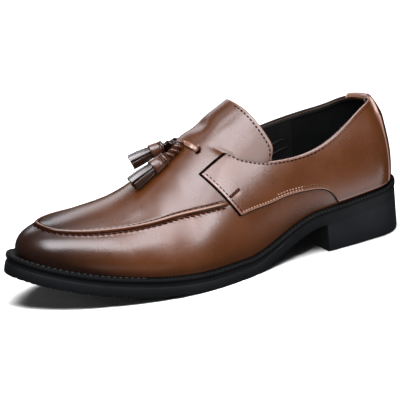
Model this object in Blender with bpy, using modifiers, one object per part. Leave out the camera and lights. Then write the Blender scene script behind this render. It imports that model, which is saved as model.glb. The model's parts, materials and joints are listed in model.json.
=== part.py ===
"""Tassel loafer, left shoe: hollow upper on a welted rubber sole with a block heel.

Sizes are in millimetres in the shoe's own directions: along runs from the back of the heel to
the toe, out to the lateral side, up from the floor. In the scene the toe points to -X and the
lateral side faces -Y, and the floor is Z = 0.
"""
import bmesh
import bpy
import numpy as np

NAME = "tassel_loafer"
MM = 0.001
GAP = 0.3
MERGE = 0.02
SLOPE_STEP = 0.5
SIDES = ("lateral", "medial")

# Sole: length, flat tread, toe spring, arch and heel
SOLE_LENGTH = 300.0
TREAD_BACK = 141.0
TREAD_FRONT = 165.0
TOE_SPRING = 26.0
TOE_CURVE = 1.9
HEEL_BREAST = 71.0
SEAT_HEIGHT = 19.3
SEAT_RISE = 4.3
TOE_TIP_OUT = -0.4
STACK_FOREFOOT = 13.5
STACK_HEEL = 11.5
STACK_BACK = 75.0
STACK_FRONT = 150.0
WELT_THICKNESS = 3.0
WELT_LIP = 0.6
EDGE_ROUND = 0.9
RIB_LOW = 4.2
RIB_STEP = 0.8
INSOLE_ABOVE_WELT = 2.0
OUTSOLE_STATIONS = 44
HEEL_STATIONS = 22
INSOLE_STATIONS = 36
WELT_STATIONS = 120

# Upper: wall, seam bead and the overlays sewn on it
WALL = 2.0
BEAD_HEIGHT = 1.6
BEAD_HALF_WIDTH = 3.0
BEAD_SHOULDER_AT = 0.4
BEAD_SHOULDER_LIFT = 0.7
BEAD_END = 151.0
BEAD_FULL = 160.0
OVERLAY = 1.2
QUARTER_FOOT = 0.014
STRIP_FOOT = 0.0233
HEEL_FAN = 42.0
TOE_FAN = 262.0
FAN_SOFT = 22.0
TONGUE_SIDE = 106.5
TONGUE_SPREAD = 160.0
ROWS_BELOW_SEAM = 6
ROWS_ABOVE_SEAM = 7
FRONT_COLUMNS = 31
BACK_COLUMNS = 16
OVERLAY_COLUMNS = 34
OVERLAY_ROWS = 7
STRIP_COLUMNS = 8
STRIP_ROWS = 9

# Lace and tassels
LACE_WIDTH = 4.0
LACE_THICKNESS = 1.2
LACE_HOLE = (157.5, 0.76)
LACE_RIDGE = 163.0
LACE_STEPS = 7
KNOT_CENTRE = (167.5, 7.5, 93.9)
KNOT_RADII = (4.4, 5.0, 3.6)
KNOT_LUMP = 1.06
KNOT_LUMPS = 3
KNOT_SEGMENTS = 14
KNOT_RINGS = 9
STEM_RADIUS = 1.5
STEM_POINTS = 8
STEM_PULL = 0.4
TASSEL_STRIPS = 9
TASSEL_SIDES = 36

# Half widths of the sole's edge: along, lateral, medial
OUTLINE = (
    (14, 26.5, 25.0),
    (30, 31.5, 31.5),
    (50, 34.0, 33.5),
    (75, 36.0, 32.0),
    (100, 39.0, 28.5),
    (125, 44.5, 27.5),
    (150, 51.0, 30.5),
    (175, 55.5, 37.5),
    (195, 55.5, 43.0),
    (212, 53.5, 46.5),
    (228, 50.0, 47.5),
    (243, 46.5, 46.5),
    (257, 42.0, 43.5),
    (270, 36.0, 38.0),
    (283, 27.5, 30.0),
    (293, 17.5, 20.5),
)

# How far the upper stands in from the sole's edge: along, inset
MARGIN = ((0, 4.4), (30, 3.8), (70, 3.4), (110, 3.8), (200, 4.2), (300, 4.2))

# Ridge line of the last, over the toe and instep and on above the collar
CREST_COLUMNS = ("along", "height", "side")
CREST = (
    (40, 112.0, 0.0),
    (70, 121.0, -1.0),
    (100, 124.0, -2.0),
    (120, 113.5, -2.5),
    (140, 104.0, -2.5),
    (160, 93.0, -2.5),
    (180, 80.0, -2.0),
    (208, 65.0, -1.0),
    (235, 60.0, 0.0),
    (262, 56.5, 0.0),
)

# Form of each section: height of the wall, its bulge and the flat run at the crown
SHAPE_COLUMNS = ("along", "wall", "bulge", "crown")
SHAPE = (
    (0, 0.40, 4.0, 0.86),
    (40, 0.42, 4.6, 0.90),
    (90, 0.50, 3.0, 0.80),
    (130, 0.50, 2.0, 0.66),
    (180, 0.52, 3.0, 0.50),
    (230, 0.58, 3.5, 0.52),
    (270, 0.62, 3.0, 0.58),
    (300, 0.58, 1.6, 0.60),
)

# Height of the collar's edge above the floor
TOPLINE_COLUMNS = ("along", "lateral", "medial")
TOPLINE = (
    (0, 93.0, 93.0),
    (12, 94.3, 91.8),
    (30, 92.0, 86.8),
    (50, 84.0, 83.9),
    (68, 76.6, 82.2),
    (85, 73.1, 80.7),
    (105, 73.1, 79.6),
    (118, 74.7, 80.3),
    (130, 78.3, 82.0),
    (150, 86.0, 87.5),
)

# Seam of the apron, as a share of the section from the welt up to the ridge
APRON_COLUMNS = ("along", "share")
APRON = (
    (150, 0.33),
    (168, 0.38),
    (184, 0.435),
    (214, 0.51),
    (243, 0.555),
    (264, 0.625),
    (277, 0.69),
    (296, 0.79),
)

# Free edge of the tongue
TONGUE_COLUMNS = ("share", "along")
TONGUE = (
    (0.30, 106.5),
    (0.40, 106.5),
    (0.50, 109.0),
    (0.65, 115.0),
    (0.80, 119.0),
    (0.92, 122.0),
    (1.0, 124.0),
)

# Lower seam of a quarter, from the sole to the front corner of its tab
QUARTER_COLUMNS = ("along", "share")
QUARTER = (
    (59, 0.0),
    (62.5, 0.054),
    (67.5, 0.097),
    (74.5, 0.117),
    (85.5, 0.130),
    (100, 0.157),
    (116, 0.191),
    (133, 0.227),
    (142.5, 0.234),
)
TAB_POINT = (162.9, 0.587)
TAB_SHOULDER = (141.2, 0.597)
TAB_BLEND = 6.0

# Half width of the strip over the back seam, by its height: share of the way up, half width
BACK_STRIP = ((0.0, 24.0), (0.82, 24.5), (1.0, 17.0))

# Tassels: side, where the cap starts and where the skirt ends
TASSELS = (
    ("lateral", (177.5, 9.0, 86.0), (205.0, 7.5, 71.5)),
    ("medial", (172.0, -3.0, 90.5), (196.0, -10.0, 81.0)),
)
# Cap, ring and skirt of a tassel: share of its length, radius, depth of the cuts between strips
TASSEL_PROFILE = (
    (0.00, 2.6, 0.0),
    (0.03, 3.7, 0.0),
    (0.09, 3.7, 0.0),
    (0.11, 3.3, 0.0),
    (0.30, 3.9, 0.0),
    (0.33, 4.0, 0.03),
    (0.36, 4.2, 0.14),
    (0.70, 4.8, 0.17),
    (1.00, 5.1, 0.20),
)


def spline(rows, columns, name):
    """Natural cubic spline through a named column of a table, over its first column."""
    table = np.array(rows, float)
    x = table[:, 0]
    y = table[:, columns.index(name)]
    h = np.diff(x)
    count = len(x)
    matrix = np.eye(count)
    right = np.zeros(count)
    for i in range(1, count - 1):
        matrix[i, i - 1:i + 2] = h[i - 1], 2 * (h[i - 1] + h[i]), h[i]
        right[i] = 6 * ((y[i + 1] - y[i]) / h[i] - (y[i] - y[i - 1]) / h[i - 1])
    bend = np.linalg.solve(matrix, right)

    def value(where):
        where = np.clip(np.asarray(where, float), x[0], x[-1])
        i = np.clip(np.searchsorted(x, where) - 1, 0, count - 2)
        a = (x[i + 1] - where) / h[i]
        b = (where - x[i]) / h[i]
        curve = ((a ** 3 - a) * bend[i] + (b ** 3 - b) * bend[i + 1]) * h[i] ** 2 / 6
        return a * y[i] + b * y[i + 1] + curve

    return value


def closed_spline(points, steps=60):
    """Smooth closed curve through plan points, with a number of steps between each two."""
    p = np.array(points, float)
    count = len(p)
    h = np.sqrt(np.linalg.norm(np.roll(p, -1, 0) - p, axis=1))
    matrix = np.zeros((count, count))
    right = np.zeros((count, 2))
    for i in range(count):
        after = (i + 1) % count
        matrix[i, i - 1] += h[i - 1]
        matrix[i, i] += 2 * (h[i - 1] + h[i])
        matrix[i, after] += h[i]
        right[i] = 6 * ((p[after] - p[i]) / h[i] - (p[i] - p[i - 1]) / h[i - 1])
    bend = np.linalg.solve(matrix, right)
    b = np.linspace(0, 1, steps, endpoint=False)[:, None]
    a = 1 - b
    runs = []
    for i in range(count):
        after = (i + 1) % count
        curve = ((a ** 3 - a) * bend[i] + (b ** 3 - b) * bend[after]) * h[i] ** 2 / 6
        runs.append(a * p[i] + b * p[after] + curve)
    return np.concatenate(runs)


def soft_min(a, b, width):
    """Smaller of two values, rounded over a width where they meet."""
    near = np.clip(width - np.abs(a - b), 0, None) / width
    return np.minimum(a, b) - near * near * width / 4


def smooth_step(x, low, high):
    k = np.clip((np.asarray(x, float) - low) / (high - low), 0, 1)
    return k * k * (3 - 2 * k)


def bezier(p, v):
    w = 1 - v
    ends = w ** 3 * p[..., 0] + v ** 3 * p[..., 3]
    return ends + 3 * w * w * v * p[..., 1] + 3 * w * v * v * p[..., 2]


# The sole's own surfaces


def sole_bottom(along):
    toe = np.clip((along - TREAD_FRONT) / (SOLE_LENGTH - TREAD_FRONT), 0, None)
    arch = np.clip((TREAD_BACK - along) / (TREAD_BACK - HEEL_BREAST), 0, 1)
    seat = np.clip(1 - along / HEEL_BREAST, 0, 1)
    return TOE_SPRING * toe ** TOE_CURVE + SEAT_HEIGHT * arch * arch * (3 - 2 * arch) + SEAT_RISE * seat


def toe_pitch(along):
    slope = (sole_bottom(along + SLOPE_STEP) - sole_bottom(along - SLOPE_STEP)) / (2 * SLOPE_STEP)
    return np.where(along > TREAD_FRONT, np.arctan(slope), 0.0)


def sole_point(along, out, rise):
    """Point in the sole's layers: rise is square to the bottom where the toe turns up."""
    pitch = toe_pitch(along)
    return np.stack([along - rise * np.sin(pitch), out, sole_bottom(along) + rise * np.cos(pitch)], -1)


def stack_height(along):
    return np.interp(along, (STACK_BACK, STACK_FRONT), (STACK_HEEL, STACK_FOREFOOT))


def outsole_height(along):
    return stack_height(along) - WELT_THICKNESS - GAP


def outline_loop():
    ring = [(0.0, 0.0)]
    ring += [(along, lateral) for along, lateral, medial in OUTLINE]
    ring += [(SOLE_LENGTH, TOE_TIP_OUT)]
    ring += [(along, -medial) for along, lateral, medial in reversed(OUTLINE)]
    return closed_spline(ring)


SOLE_LOOP = outline_loop()


def margin(along):
    table = np.array(MARGIN, float)
    return np.interp(along, table[:, 0], table[:, 1])


def inset_loop(inset):
    """The sole's edge moved in by an inset, which may differ from point to point."""
    tangent = np.roll(SOLE_LOOP, -1, 0) - np.roll(SOLE_LOOP, 1, 0)
    tangent /= np.linalg.norm(tangent, axis=1)[:, None]
    outward = np.stack([-tangent[:, 1], tangent[:, 0]], 1)
    return SOLE_LOOP - outward * np.broadcast_to(inset, len(SOLE_LOOP))[:, None]


def two_sides(loop):
    """A loop split into its lateral and medial side, each from the toe tip to the heel back."""
    loop = np.roll(loop, -int(np.argmin(loop[:, 0])), 0)
    tip = int(np.argmax(loop[:, 0]))
    return {"lateral": loop[:tip + 1][::-1], "medial": np.concatenate([loop[tip:], loop[:1]])}


UPPER_INSET = margin(SOLE_LOOP[:, 0])
FEATHER = two_sides(inset_loop(UPPER_INSET))


def arc_share(path):
    run = np.concatenate([[0], np.cumsum(np.linalg.norm(np.diff(path, axis=0), axis=1))])
    return run / run[-1]


FEATHER_SHARE = {side: arc_share(path) for side, path in FEATHER.items()}


# The upper's own function: a section at each place round the sole, from the welt up to the ridge

crest_height = spline(CREST, CREST_COLUMNS, "height")
crest_side = spline(CREST, CREST_COLUMNS, "side")
shape_wall = spline(SHAPE, SHAPE_COLUMNS, "wall")
shape_bulge = spline(SHAPE, SHAPE_COLUMNS, "bulge")
shape_crown = spline(SHAPE, SHAPE_COLUMNS, "crown")
topline = {side: spline(TOPLINE, TOPLINE_COLUMNS, side) for side in SIDES}
apron_share = spline(APRON, APRON_COLUMNS, "share")
tongue_along = spline(TONGUE, TONGUE_COLUMNS, "along")
quarter_share = spline(QUARTER, QUARTER_COLUMNS, "share")


def feather(side, s):
    along = np.interp(s, FEATHER_SHARE[side], FEATHER[side][:, 0])
    out = np.interp(s, FEATHER_SHARE[side], FEATHER[side][:, 1])
    return sole_point(along, out, stack_height(along) + GAP), along


def place_at(side, along):
    """Share of the way from toe tip to heel back at a distance along the shoe."""
    return np.interp(-np.asarray(along, float), -FEATHER[side][:, 0], FEATHER_SHARE[side])


def crest_along(along):
    front = soft_min(along, TOE_FAN, FAN_SOFT)
    return -soft_min(-front, -HEEL_FAN, FAN_SOFT)


def section(side, s):
    """Foot, direction and the two Bezier coordinates of the section at s."""
    foot, along = feather(side, s)
    c = crest_along(along)
    run = np.stack([c, crest_side(c)], -1) - foot[..., :2]
    depth = np.linalg.norm(run, axis=-1)
    way = run / depth[..., None]
    rise = crest_height(c) - foot[..., 2]
    fall = (crest_height(c + SLOPE_STEP) - crest_height(c - SLOPE_STEP)) / (2 * SLOPE_STEP)
    slope = fall * way[..., 0]
    crown = depth * shape_crown(along)
    across = np.stack([0 * depth, -shape_bulge(along), depth - crown, depth], -1)
    upward = np.stack([0 * rise, shape_wall(along) * rise, rise - crown * slope, rise], -1)
    return foot, way, across, upward


def upper_point(side, s, v):
    s, v = np.broadcast_arrays(np.asarray(s, float), np.asarray(v, float))
    foot, way, across, upward = section(side, s)
    q = bezier(across, v)
    return foot + np.stack([way[..., 0] * q, way[..., 1] * q, bezier(upward, v)], -1)


def upper_normal(side, s, v):
    step = 0.002
    s, v = np.broadcast_arrays(np.clip(s, step, 1 - step), np.clip(v, step, 1 - step))
    ds = upper_point(side, s + step, v) - upper_point(side, s - step, v)
    dv = upper_point(side, s, v + step) - upper_point(side, s, v - step)
    normal = np.cross(ds, dv) if side == "lateral" else np.cross(dv, ds)
    return normal / np.linalg.norm(normal, axis=-1)[..., None]


def upper_offset(side, s, v, lift):
    return upper_point(side, s, v) + upper_normal(side, s, v) * np.asarray(lift, float)[..., None]


def share_at_height(side, s, height):
    """Share of each section at which the upper reaches a height above the floor."""
    s, height = np.broadcast_arrays(np.asarray(s, float), np.asarray(height, float))
    foot, way, across, upward = section(side, s)
    low = np.zeros(s.shape)
    high = np.ones(s.shape)
    for _ in range(30):
        middle = (low + high) / 2
        below = foot[..., 2] + bezier(upward, middle) < height
        low = np.where(below, middle, low)
        high = np.where(below, high, middle)
    return (low + high) / 2


def topline_share(side, s):
    along = feather(side, s)[1]
    return share_at_height(side, s, topline[side](along))


def girth_share(side, s):
    """Row that follows the apron's seam in front and meets the collar's edge at the tongue."""
    along = feather(side, s)[1]
    collar = topline_share(side, place_at(side, TONGUE_SIDE))
    blend = np.clip((along - TONGUE_SIDE) / (APRON[0][0] - TONGUE_SIDE), 0, 1)
    return collar * (1 - blend) + apron_share(along) * blend


def mm_per_share(side, s, v):
    """Millimetres up a section for a whole share, measured about a share."""
    step = 0.01
    rise = upper_point(side, s, v + step) - upper_point(side, s, v - step)
    return np.linalg.norm(rise, axis=-1) / (2 * step)


# Mesh helpers


CENTRE_ALONG = (SOLE_LENGTH - EDGE_ROUND) / 2
CENTRE_OUT = (SOLE_LOOP[:, 1].max() + SOLE_LOOP[:, 1].min()) / 2


def to_scene(points):
    p = np.asarray(points, float)
    return np.stack([CENTRE_ALONG - p[..., 0], CENTRE_OUT - p[..., 1], p[..., 2]], -1) * MM


def new_material(name, colour, roughness, metallic=0.0):
    material = bpy.data.materials.new(name)
    material.use_nodes = True
    shader = material.node_tree.nodes["Principled BSDF"]
    shader.inputs["Base Color"].default_value = (*colour, 1.0)
    shader.inputs["Roughness"].default_value = roughness
    shader.inputs["Metallic"].default_value = metallic
    return material


def add_piece(name, patches, material, smooth_angle=40.0):
    """One object from patches: each is a grid of points, and whether its faces are turned over."""
    mesh = bmesh.new()
    for grid, turned in patches:
        rows = [[mesh.verts.new(p) for p in row] for row in to_scene(grid)]
        for low, high in zip(rows, rows[1:]):
            for a, b, c, d in zip(low, low[1:], high[1:], high):
                mesh.faces.new((d, c, b, a) if turned else (a, b, c, d))
    bmesh.ops.remove_doubles(mesh, verts=mesh.verts, dist=MERGE * MM)
    data = bpy.data.meshes.new(name)
    mesh.to_mesh(data)
    mesh.free()
    data.shade_smooth()
    data.set_sharp_from_angle(angle=np.radians(smooth_angle))
    data.materials.append(material)
    piece = bpy.data.objects.new(name, data)
    PARTS.objects.link(piece)
    return piece


def add_wall(piece, thickness, inward):
    solidify = piece.modifiers.new("wall", "SOLIDIFY")
    solidify.thickness = thickness * MM
    solidify.offset = -1.0 if inward else 1.0
    solidify.use_even_offset = False
    return piece


def plate(name, rings, material):
    """Closed solid from rings, low to high, each a lateral and a medial row from toe to heel."""
    patches = []
    for low, high in zip(rings, rings[1:]):
        patches.append((np.stack([low["lateral"], high["lateral"]]), False))
        patches.append((np.stack([low["medial"], high["medial"]]), True))
        front_low = np.stack([low["medial"][0], low["lateral"][0]])
        front_high = np.stack([high["medial"][0], high["lateral"][0]])
        patches.append((np.stack([front_low, front_high]), False))
    patches.append((np.stack([rings[0]["medial"], rings[0]["lateral"]]), False))
    patches.append((np.stack([rings[-1]["lateral"], rings[-1]["medial"]]), False))
    return add_piece(name, patches, material)


def sole_stations(count, front=SOLE_LENGTH):
    """Stations from front to back, closer together at the round ends of the sole."""
    path = two_sides(SOLE_LOOP)["lateral"]
    start = np.interp(-front, -path[:, 0], arc_share(path))
    stations = np.interp(np.linspace(start, 1, count), arc_share(path), path[:, 0])
    stations[0] = front
    return stations


def sole_ring(stations, inset, rise, whole=True):
    """A ring of the sole at an inset from its edge, at a rise above its bottom."""
    sides = two_sides(inset_loop(inset))
    first = sides["lateral"][0, 0]
    last = sides["lateral"][-1, 0]
    low = stations.min()
    high = SOLE_LENGTH if whole else stations.max()
    top = first if whole else high
    along = last + (stations - low) / (high - low) * (top - last)
    ring = {}
    for side, path in sides.items():
        out = np.interp(-along, -path[:, 0], path[:, 1])
        ring[side] = sole_point(along, out, rise(along))
    return ring


# Pieces of the sole


def make_outsole(material):
    stations = sole_stations(OUTSOLE_STATIONS)
    steps = (
        (EDGE_ROUND, lambda along: 0 * along),
        (0.0, lambda along: EDGE_ROUND + 0 * along),
        (0.0, lambda along: RIB_LOW + 0 * along),
        (RIB_STEP, lambda along: RIB_LOW + RIB_STEP / 2 + 0 * along),
        (RIB_STEP, outsole_height),
    )
    return plate("outsole", [sole_ring(stations, inset, rise) for inset, rise in steps], material)


def make_heel(material):
    stations = sole_stations(HEEL_STATIONS, front=HEEL_BREAST)
    steps = (
        (EDGE_ROUND, lambda along: -sole_bottom(along)),
        (0.0, lambda along: EDGE_ROUND - sole_bottom(along)),
        (0.0, lambda along: -GAP + 0 * along),
    )
    rings = [sole_ring(stations, inset, rise, whole=False) for inset, rise in steps]
    return plate("heel", rings, material)


def make_welt(material):
    points = slice(None, None, len(SOLE_LOOP) // WELT_STATIONS)
    inner = UPPER_INSET + WALL
    corners = (
        (RIB_STEP + 0 * inner, 0.0),
        (-WELT_LIP + 0 * inner, 0.0),
        (-WELT_LIP + 0 * inner, WELT_THICKNESS - EDGE_ROUND),
        (EDGE_ROUND - WELT_LIP + 0 * inner, WELT_THICKNESS),
        (inner, WELT_THICKNESS),
        (inner, 0.0),
        (RIB_STEP + 0 * inner, 0.0),
    )
    rows = []
    for inset, above in corners:
        loop = inset_loop(inset)[points]
        loop = np.concatenate([loop, loop[:1]])
        rise = stack_height(loop[:, 0]) - WELT_THICKNESS + above
        rows.append(sole_point(loop[:, 0], loop[:, 1], rise))
    return add_piece("welt", [(np.stack(rows), True)], material)


def make_insole(material):
    stations = sole_stations(INSOLE_STATIONS)
    inset = UPPER_INSET + WALL + GAP
    rings = (
        sole_ring(stations, inset, lambda along: outsole_height(along) + GAP),
        sole_ring(stations, inset, lambda along: stack_height(along) + INSOLE_ABOVE_WELT),
    )
    return plate("insole", rings, material)


# Upper and its overlays


def front_patch(side):
    """Vamp, apron and tongue of one side: columns from the toe tip back to the tongue's edge."""
    s = np.linspace(0, place_at("lateral", TONGUE_SIDE), FRONT_COLUMNS)
    along = feather("lateral", s)[1]
    s = place_at(side, along)
    girth = girth_share(side, s)
    edge = BEAD_HALF_WIDTH / mm_per_share(side, s, girth)
    bead = np.clip((along - BEAD_END) / (BEAD_FULL - BEAD_END), 0, 1) * BEAD_HEIGHT
    shares = [(girth - edge) * k for k in np.linspace(0, 1, ROWS_BELOW_SEAM)]
    lifts = [0 * bead] * ROWS_BELOW_SEAM
    shares += [girth - edge * BEAD_SHOULDER_AT, girth, girth + edge * BEAD_SHOULDER_AT]
    lifts += [bead * BEAD_SHOULDER_LIFT, bead, bead * BEAD_SHOULDER_LIFT]
    shares += [(girth + edge) * (1 - k) + k for k in np.linspace(0, 1, ROWS_ABOVE_SEAM)]
    lifts += [0 * bead] * ROWS_ABOVE_SEAM
    fade = np.clip((TONGUE_SPREAD - along) / (TONGUE_SPREAD - TONGUE_SIDE), 0, 1)
    grid = []
    for share, lift in zip(shares, lifts):
        skew = (tongue_along(share) - TONGUE_SIDE) * fade
        grid.append(upper_offset(side, place_at(side, along + skew), share, lift))
    return np.stack(grid)


def back_patch(side, front):
    """Quarter wall from the tongue's edge round the heel, from the welt up to the collar."""
    s = np.linspace(place_at(side, TONGUE_SIDE), 1, BACK_COLUMNS)
    top = topline_share(side, s)
    edge = BEAD_HALF_WIDTH / mm_per_share(side, s, top)
    shares = [(top - edge) * k for k in np.linspace(0, 1, ROWS_BELOW_SEAM)]
    shares += [top - edge * BEAD_SHOULDER_AT, top]
    grid = np.stack([upper_point(side, s, share) for share in shares])
    grid[:, 0] = front[:len(shares), -1]
    return grid


def share_line(grids, line):
    """Give two grids the same points where they meet, on the line that an index picks out."""
    middle = (grids[0][line] + grids[1][line]) / 2
    for grid in grids:
        grid[line] = middle


def make_upper(material):
    fronts = [front_patch(side) for side in SIDES]
    share_line(fronts, (slice(None), 0))
    share_line(fronts, (-1, slice(None)))
    backs = [back_patch(side, front) for side, front in zip(SIDES, fronts)]
    share_line(backs, (slice(None), -1))
    patches = []
    for side, front, back in zip(SIDES, fronts, backs):
        patches += [(front, side == "medial"), (back, side == "medial")]
    return add_wall(add_piece("upper", patches, material), WALL, inward=True)


def make_quarter(side, material):
    """Quarter with its tab, cut from the upper's function between its lower seam and the collar."""
    low_start = place_at(side, QUARTER[-1][0])
    top_start = place_at(side, TAB_POINT[0])
    back = 1 - GAP / 2 / SOLE_LENGTH
    k = np.linspace(0, 1, OVERLAY_COLUMNS)
    s_low = low_start + (back - low_start) * k
    s_top = top_start + (back - top_start) * k
    along_low = feather(side, s_low)[1]
    along_top = feather(side, s_top)[1]
    seam = np.maximum(quarter_share(along_low), QUARTER_FOOT)
    low = np.where(along_low < QUARTER[0][0], QUARTER_FOOT, seam)
    forward = np.clip((along_top - TAB_SHOULDER[0]) / (TAB_POINT[0] - TAB_SHOULDER[0]), 0, 1)
    tab = TAB_SHOULDER[1] * (1 - forward) + TAB_POINT[1] * forward
    step_up = TAB_SHOULDER[1] - topline_share(side, place_at(side, TAB_SHOULDER[0]))
    blend = smooth_step(along_top, TAB_SHOULDER[0] - TAB_BLEND, TAB_SHOULDER[0])
    collar = topline_share(side, s_top) + step_up * blend
    top = np.where(along_top > TAB_SHOULDER[0], tab, collar)
    grid = []
    for q in np.linspace(0, 1, OVERLAY_ROWS):
        s = s_low * (1 - q) + s_top * q
        v = low * (1 - q) + top * q
        grid.append(upper_offset(side, s, v, GAP + 0 * s))
    piece = add_piece("quarter_" + side, [(np.stack(grid), side == "medial")], material)
    return add_wall(piece, OVERLAY, inward=False)


def make_back_strip(material):
    """Strip over the back seam, narrower at the collar."""
    rows = np.linspace(0, 1, STRIP_ROWS)
    levels, widths = np.array(BACK_STRIP).T
    half = np.interp(rows, levels, widths)
    lift = GAP + OVERLAY + GAP
    patches = []
    for side in SIDES:
        length = np.linalg.norm(np.diff(FEATHER[side], axis=0), axis=1).sum()
        grid = []
        for k, width in zip(rows, half):
            s = 1 - np.linspace(1, 0, STRIP_COLUMNS) * width / length
            share = STRIP_FOOT + (topline_share(side, s) - STRIP_FOOT) * k
            grid.append(upper_offset(side, s, share, lift + 0 * s))
        patches.append((np.stack(grid), side == "medial"))
    share_line([grid for grid, turned in patches], (slice(None), -1))
    return add_wall(add_piece("back_strip", patches, material), OVERLAY, inward=False)


# Lace and tassels


def make_lace(material):
    """Flat lace over the ridge, from the hole on one side to the hole on the other."""
    patches = []
    hole_along, hole_share = LACE_HOLE
    for side in SIDES:
        grid = []
        for k in np.linspace(0, 1, LACE_STEPS):
            along = hole_along + (LACE_RIDGE - hole_along) * np.sin(k * np.pi / 2)
            across = along + np.linspace(-0.5, 0.5, 3) * LACE_WIDTH
            share = np.full(3, hole_share + (1 - hole_share) * k)
            grid.append(upper_offset(side, place_at(side, across), share, np.full(3, GAP)))
        patches.append((np.stack(grid), side == "lateral"))
    share_line([grid for grid, turned in patches], (-1, slice(None)))
    return add_wall(add_piece("lace", patches, material), LACE_THICKNESS, inward=False)


def ring_frame(start, end):
    """Unit directions along a line and square to it."""
    way = (end - start) / np.linalg.norm(end - start)
    side = np.cross((0.0, 0.0, 1.0), way)
    side /= np.linalg.norm(side)
    return way, side, np.cross(way, side)


def make_tassel(side, start, end, material):
    """Tassel along a line: cap, ring and skirt, with cuts between the skirt's strips."""
    start = np.array(start, float)
    end = np.array(end, float)
    across, over = ring_frame(start, end)[1:]
    angle = np.linspace(0, 2 * np.pi, TASSEL_SIDES + 1)
    wave = 0.5 + 0.5 * np.cos(TASSEL_STRIPS * angle)
    radial = np.outer(np.cos(angle), across) + np.outer(np.sin(angle), over)
    rows = [np.repeat(start[None], TASSEL_SIDES + 1, 0)]
    for share, radius, cut in TASSEL_PROFILE:
        reach = radius * (1 - cut * wave ** 2)
        rows.append(start + (end - start) * share + radial * reach[:, None])
    rows.append(np.repeat(end[None], TASSEL_SIDES + 1, 0))
    return add_piece("tassel_" + side, [(np.stack(rows), False)], material, smooth_angle=50.0)


def make_knot(material):
    bpy.ops.mesh.primitive_uv_sphere_add(segments=KNOT_SEGMENTS, ring_count=KNOT_RINGS, radius=1.0)
    knot = bpy.context.active_object
    knot.name = "lace_knot"
    knot.data.name = "lace_knot"
    for vertex in knot.data.vertices:
        turn = np.arctan2(vertex.co.y, vertex.co.x)
        vertex.co *= 1.0 + (KNOT_LUMP - 1.0) * np.sin(KNOT_LUMPS * turn) * (1 - vertex.co.z ** 2)
    knot.scale = [radius * MM for radius in KNOT_RADII]
    knot.location = to_scene(KNOT_CENTRE)
    bpy.ops.object.transform_apply(location=False, rotation=False, scale=True)
    knot.data.shade_smooth()
    knot.data.materials.append(material)
    for collection in list(knot.users_collection):
        collection.objects.unlink(knot)
    PARTS.objects.link(knot)
    return knot


def make_stem(side, start, end, material):
    """Lace end that leaves the knot and runs into a tassel's cap along the tassel's own line."""
    centre = np.array(KNOT_CENTRE)
    way = ring_frame(np.array(start), np.array(end))[0]
    tip = np.array(start) - way * GAP
    handle = tip - way * np.linalg.norm(tip - centre) * STEM_PULL
    leave = (handle - centre) / np.linalg.norm(handle - centre)
    reach = KNOT_LUMP / np.linalg.norm(leave / np.array(KNOT_RADII))
    root = centre + leave * (reach + GAP)
    curve = bpy.data.curves.new("lace_end_" + side, "CURVE")
    curve.dimensions = "3D"
    curve.bevel_depth = STEM_RADIUS * MM
    curve.bevel_resolution = 2
    curve.use_fill_caps = True
    path = curve.splines.new("POLY")
    path.points.add(STEM_POINTS - 1)
    for point, k in zip(path.points, np.linspace(0, 1, STEM_POINTS)):
        place = root * (1 - k) ** 2 + handle * 2 * k * (1 - k) + tip * k ** 2
        point.co = (*to_scene(place), 1.0)
    stem = bpy.data.objects.new("lace_end_" + side, curve)
    curve.materials.append(material)
    PARTS.objects.link(stem)
    return stem


for item in list(bpy.data.objects):
    bpy.data.objects.remove(item, do_unlink=True)

PARTS = bpy.data.collections.new(NAME)
bpy.context.scene.collection.children.link(PARTS)

LEATHER = new_material("brown_leather", (0.23, 0.09, 0.04), 0.38)
TASSEL_LEATHER = new_material("tassel_leather", (0.17, 0.065, 0.03), 0.42)
RUBBER = new_material("black_rubber", (0.018, 0.019, 0.021), 0.55)
WELT_RUBBER = new_material("welt_rubber", (0.022, 0.022, 0.024), 0.6)
LINING = new_material("black_lining", (0.015, 0.014, 0.014), 0.8)

make_outsole(RUBBER)
make_heel(RUBBER)
make_welt(WELT_RUBBER)
make_insole(LINING)
make_upper(LEATHER)
for half in SIDES:
    make_quarter(half, LEATHER)
make_back_strip(LEATHER)
make_lace(TASSEL_LEATHER)
make_knot(TASSEL_LEATHER)
for half, cap_start, skirt_end in TASSELS:
    make_stem(half, cap_start, skirt_end, TASSEL_LEATHER)
    make_tassel(half, cap_start, skirt_end, TASSEL_LEATHER)
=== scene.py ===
"""Tassel loafer, left shoe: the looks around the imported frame.

Sizes are in millimetres in the shoe's own directions: along runs from the back of the heel to
the toe, out to the lateral side, up from the floor. A place s runs round one side of the sole,
from the toe tip (0) to the back of the heel (1). A share runs up the upper's section, from the
welt (0) to the ridge (1). In the scene the toe points to -X, the lateral side faces -Y, and the
floor is Z = 0.
"""
import json

import bmesh
import bpy
import numpy as np
from mathutils import Matrix
from mathutils.kdtree import KDTree

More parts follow.
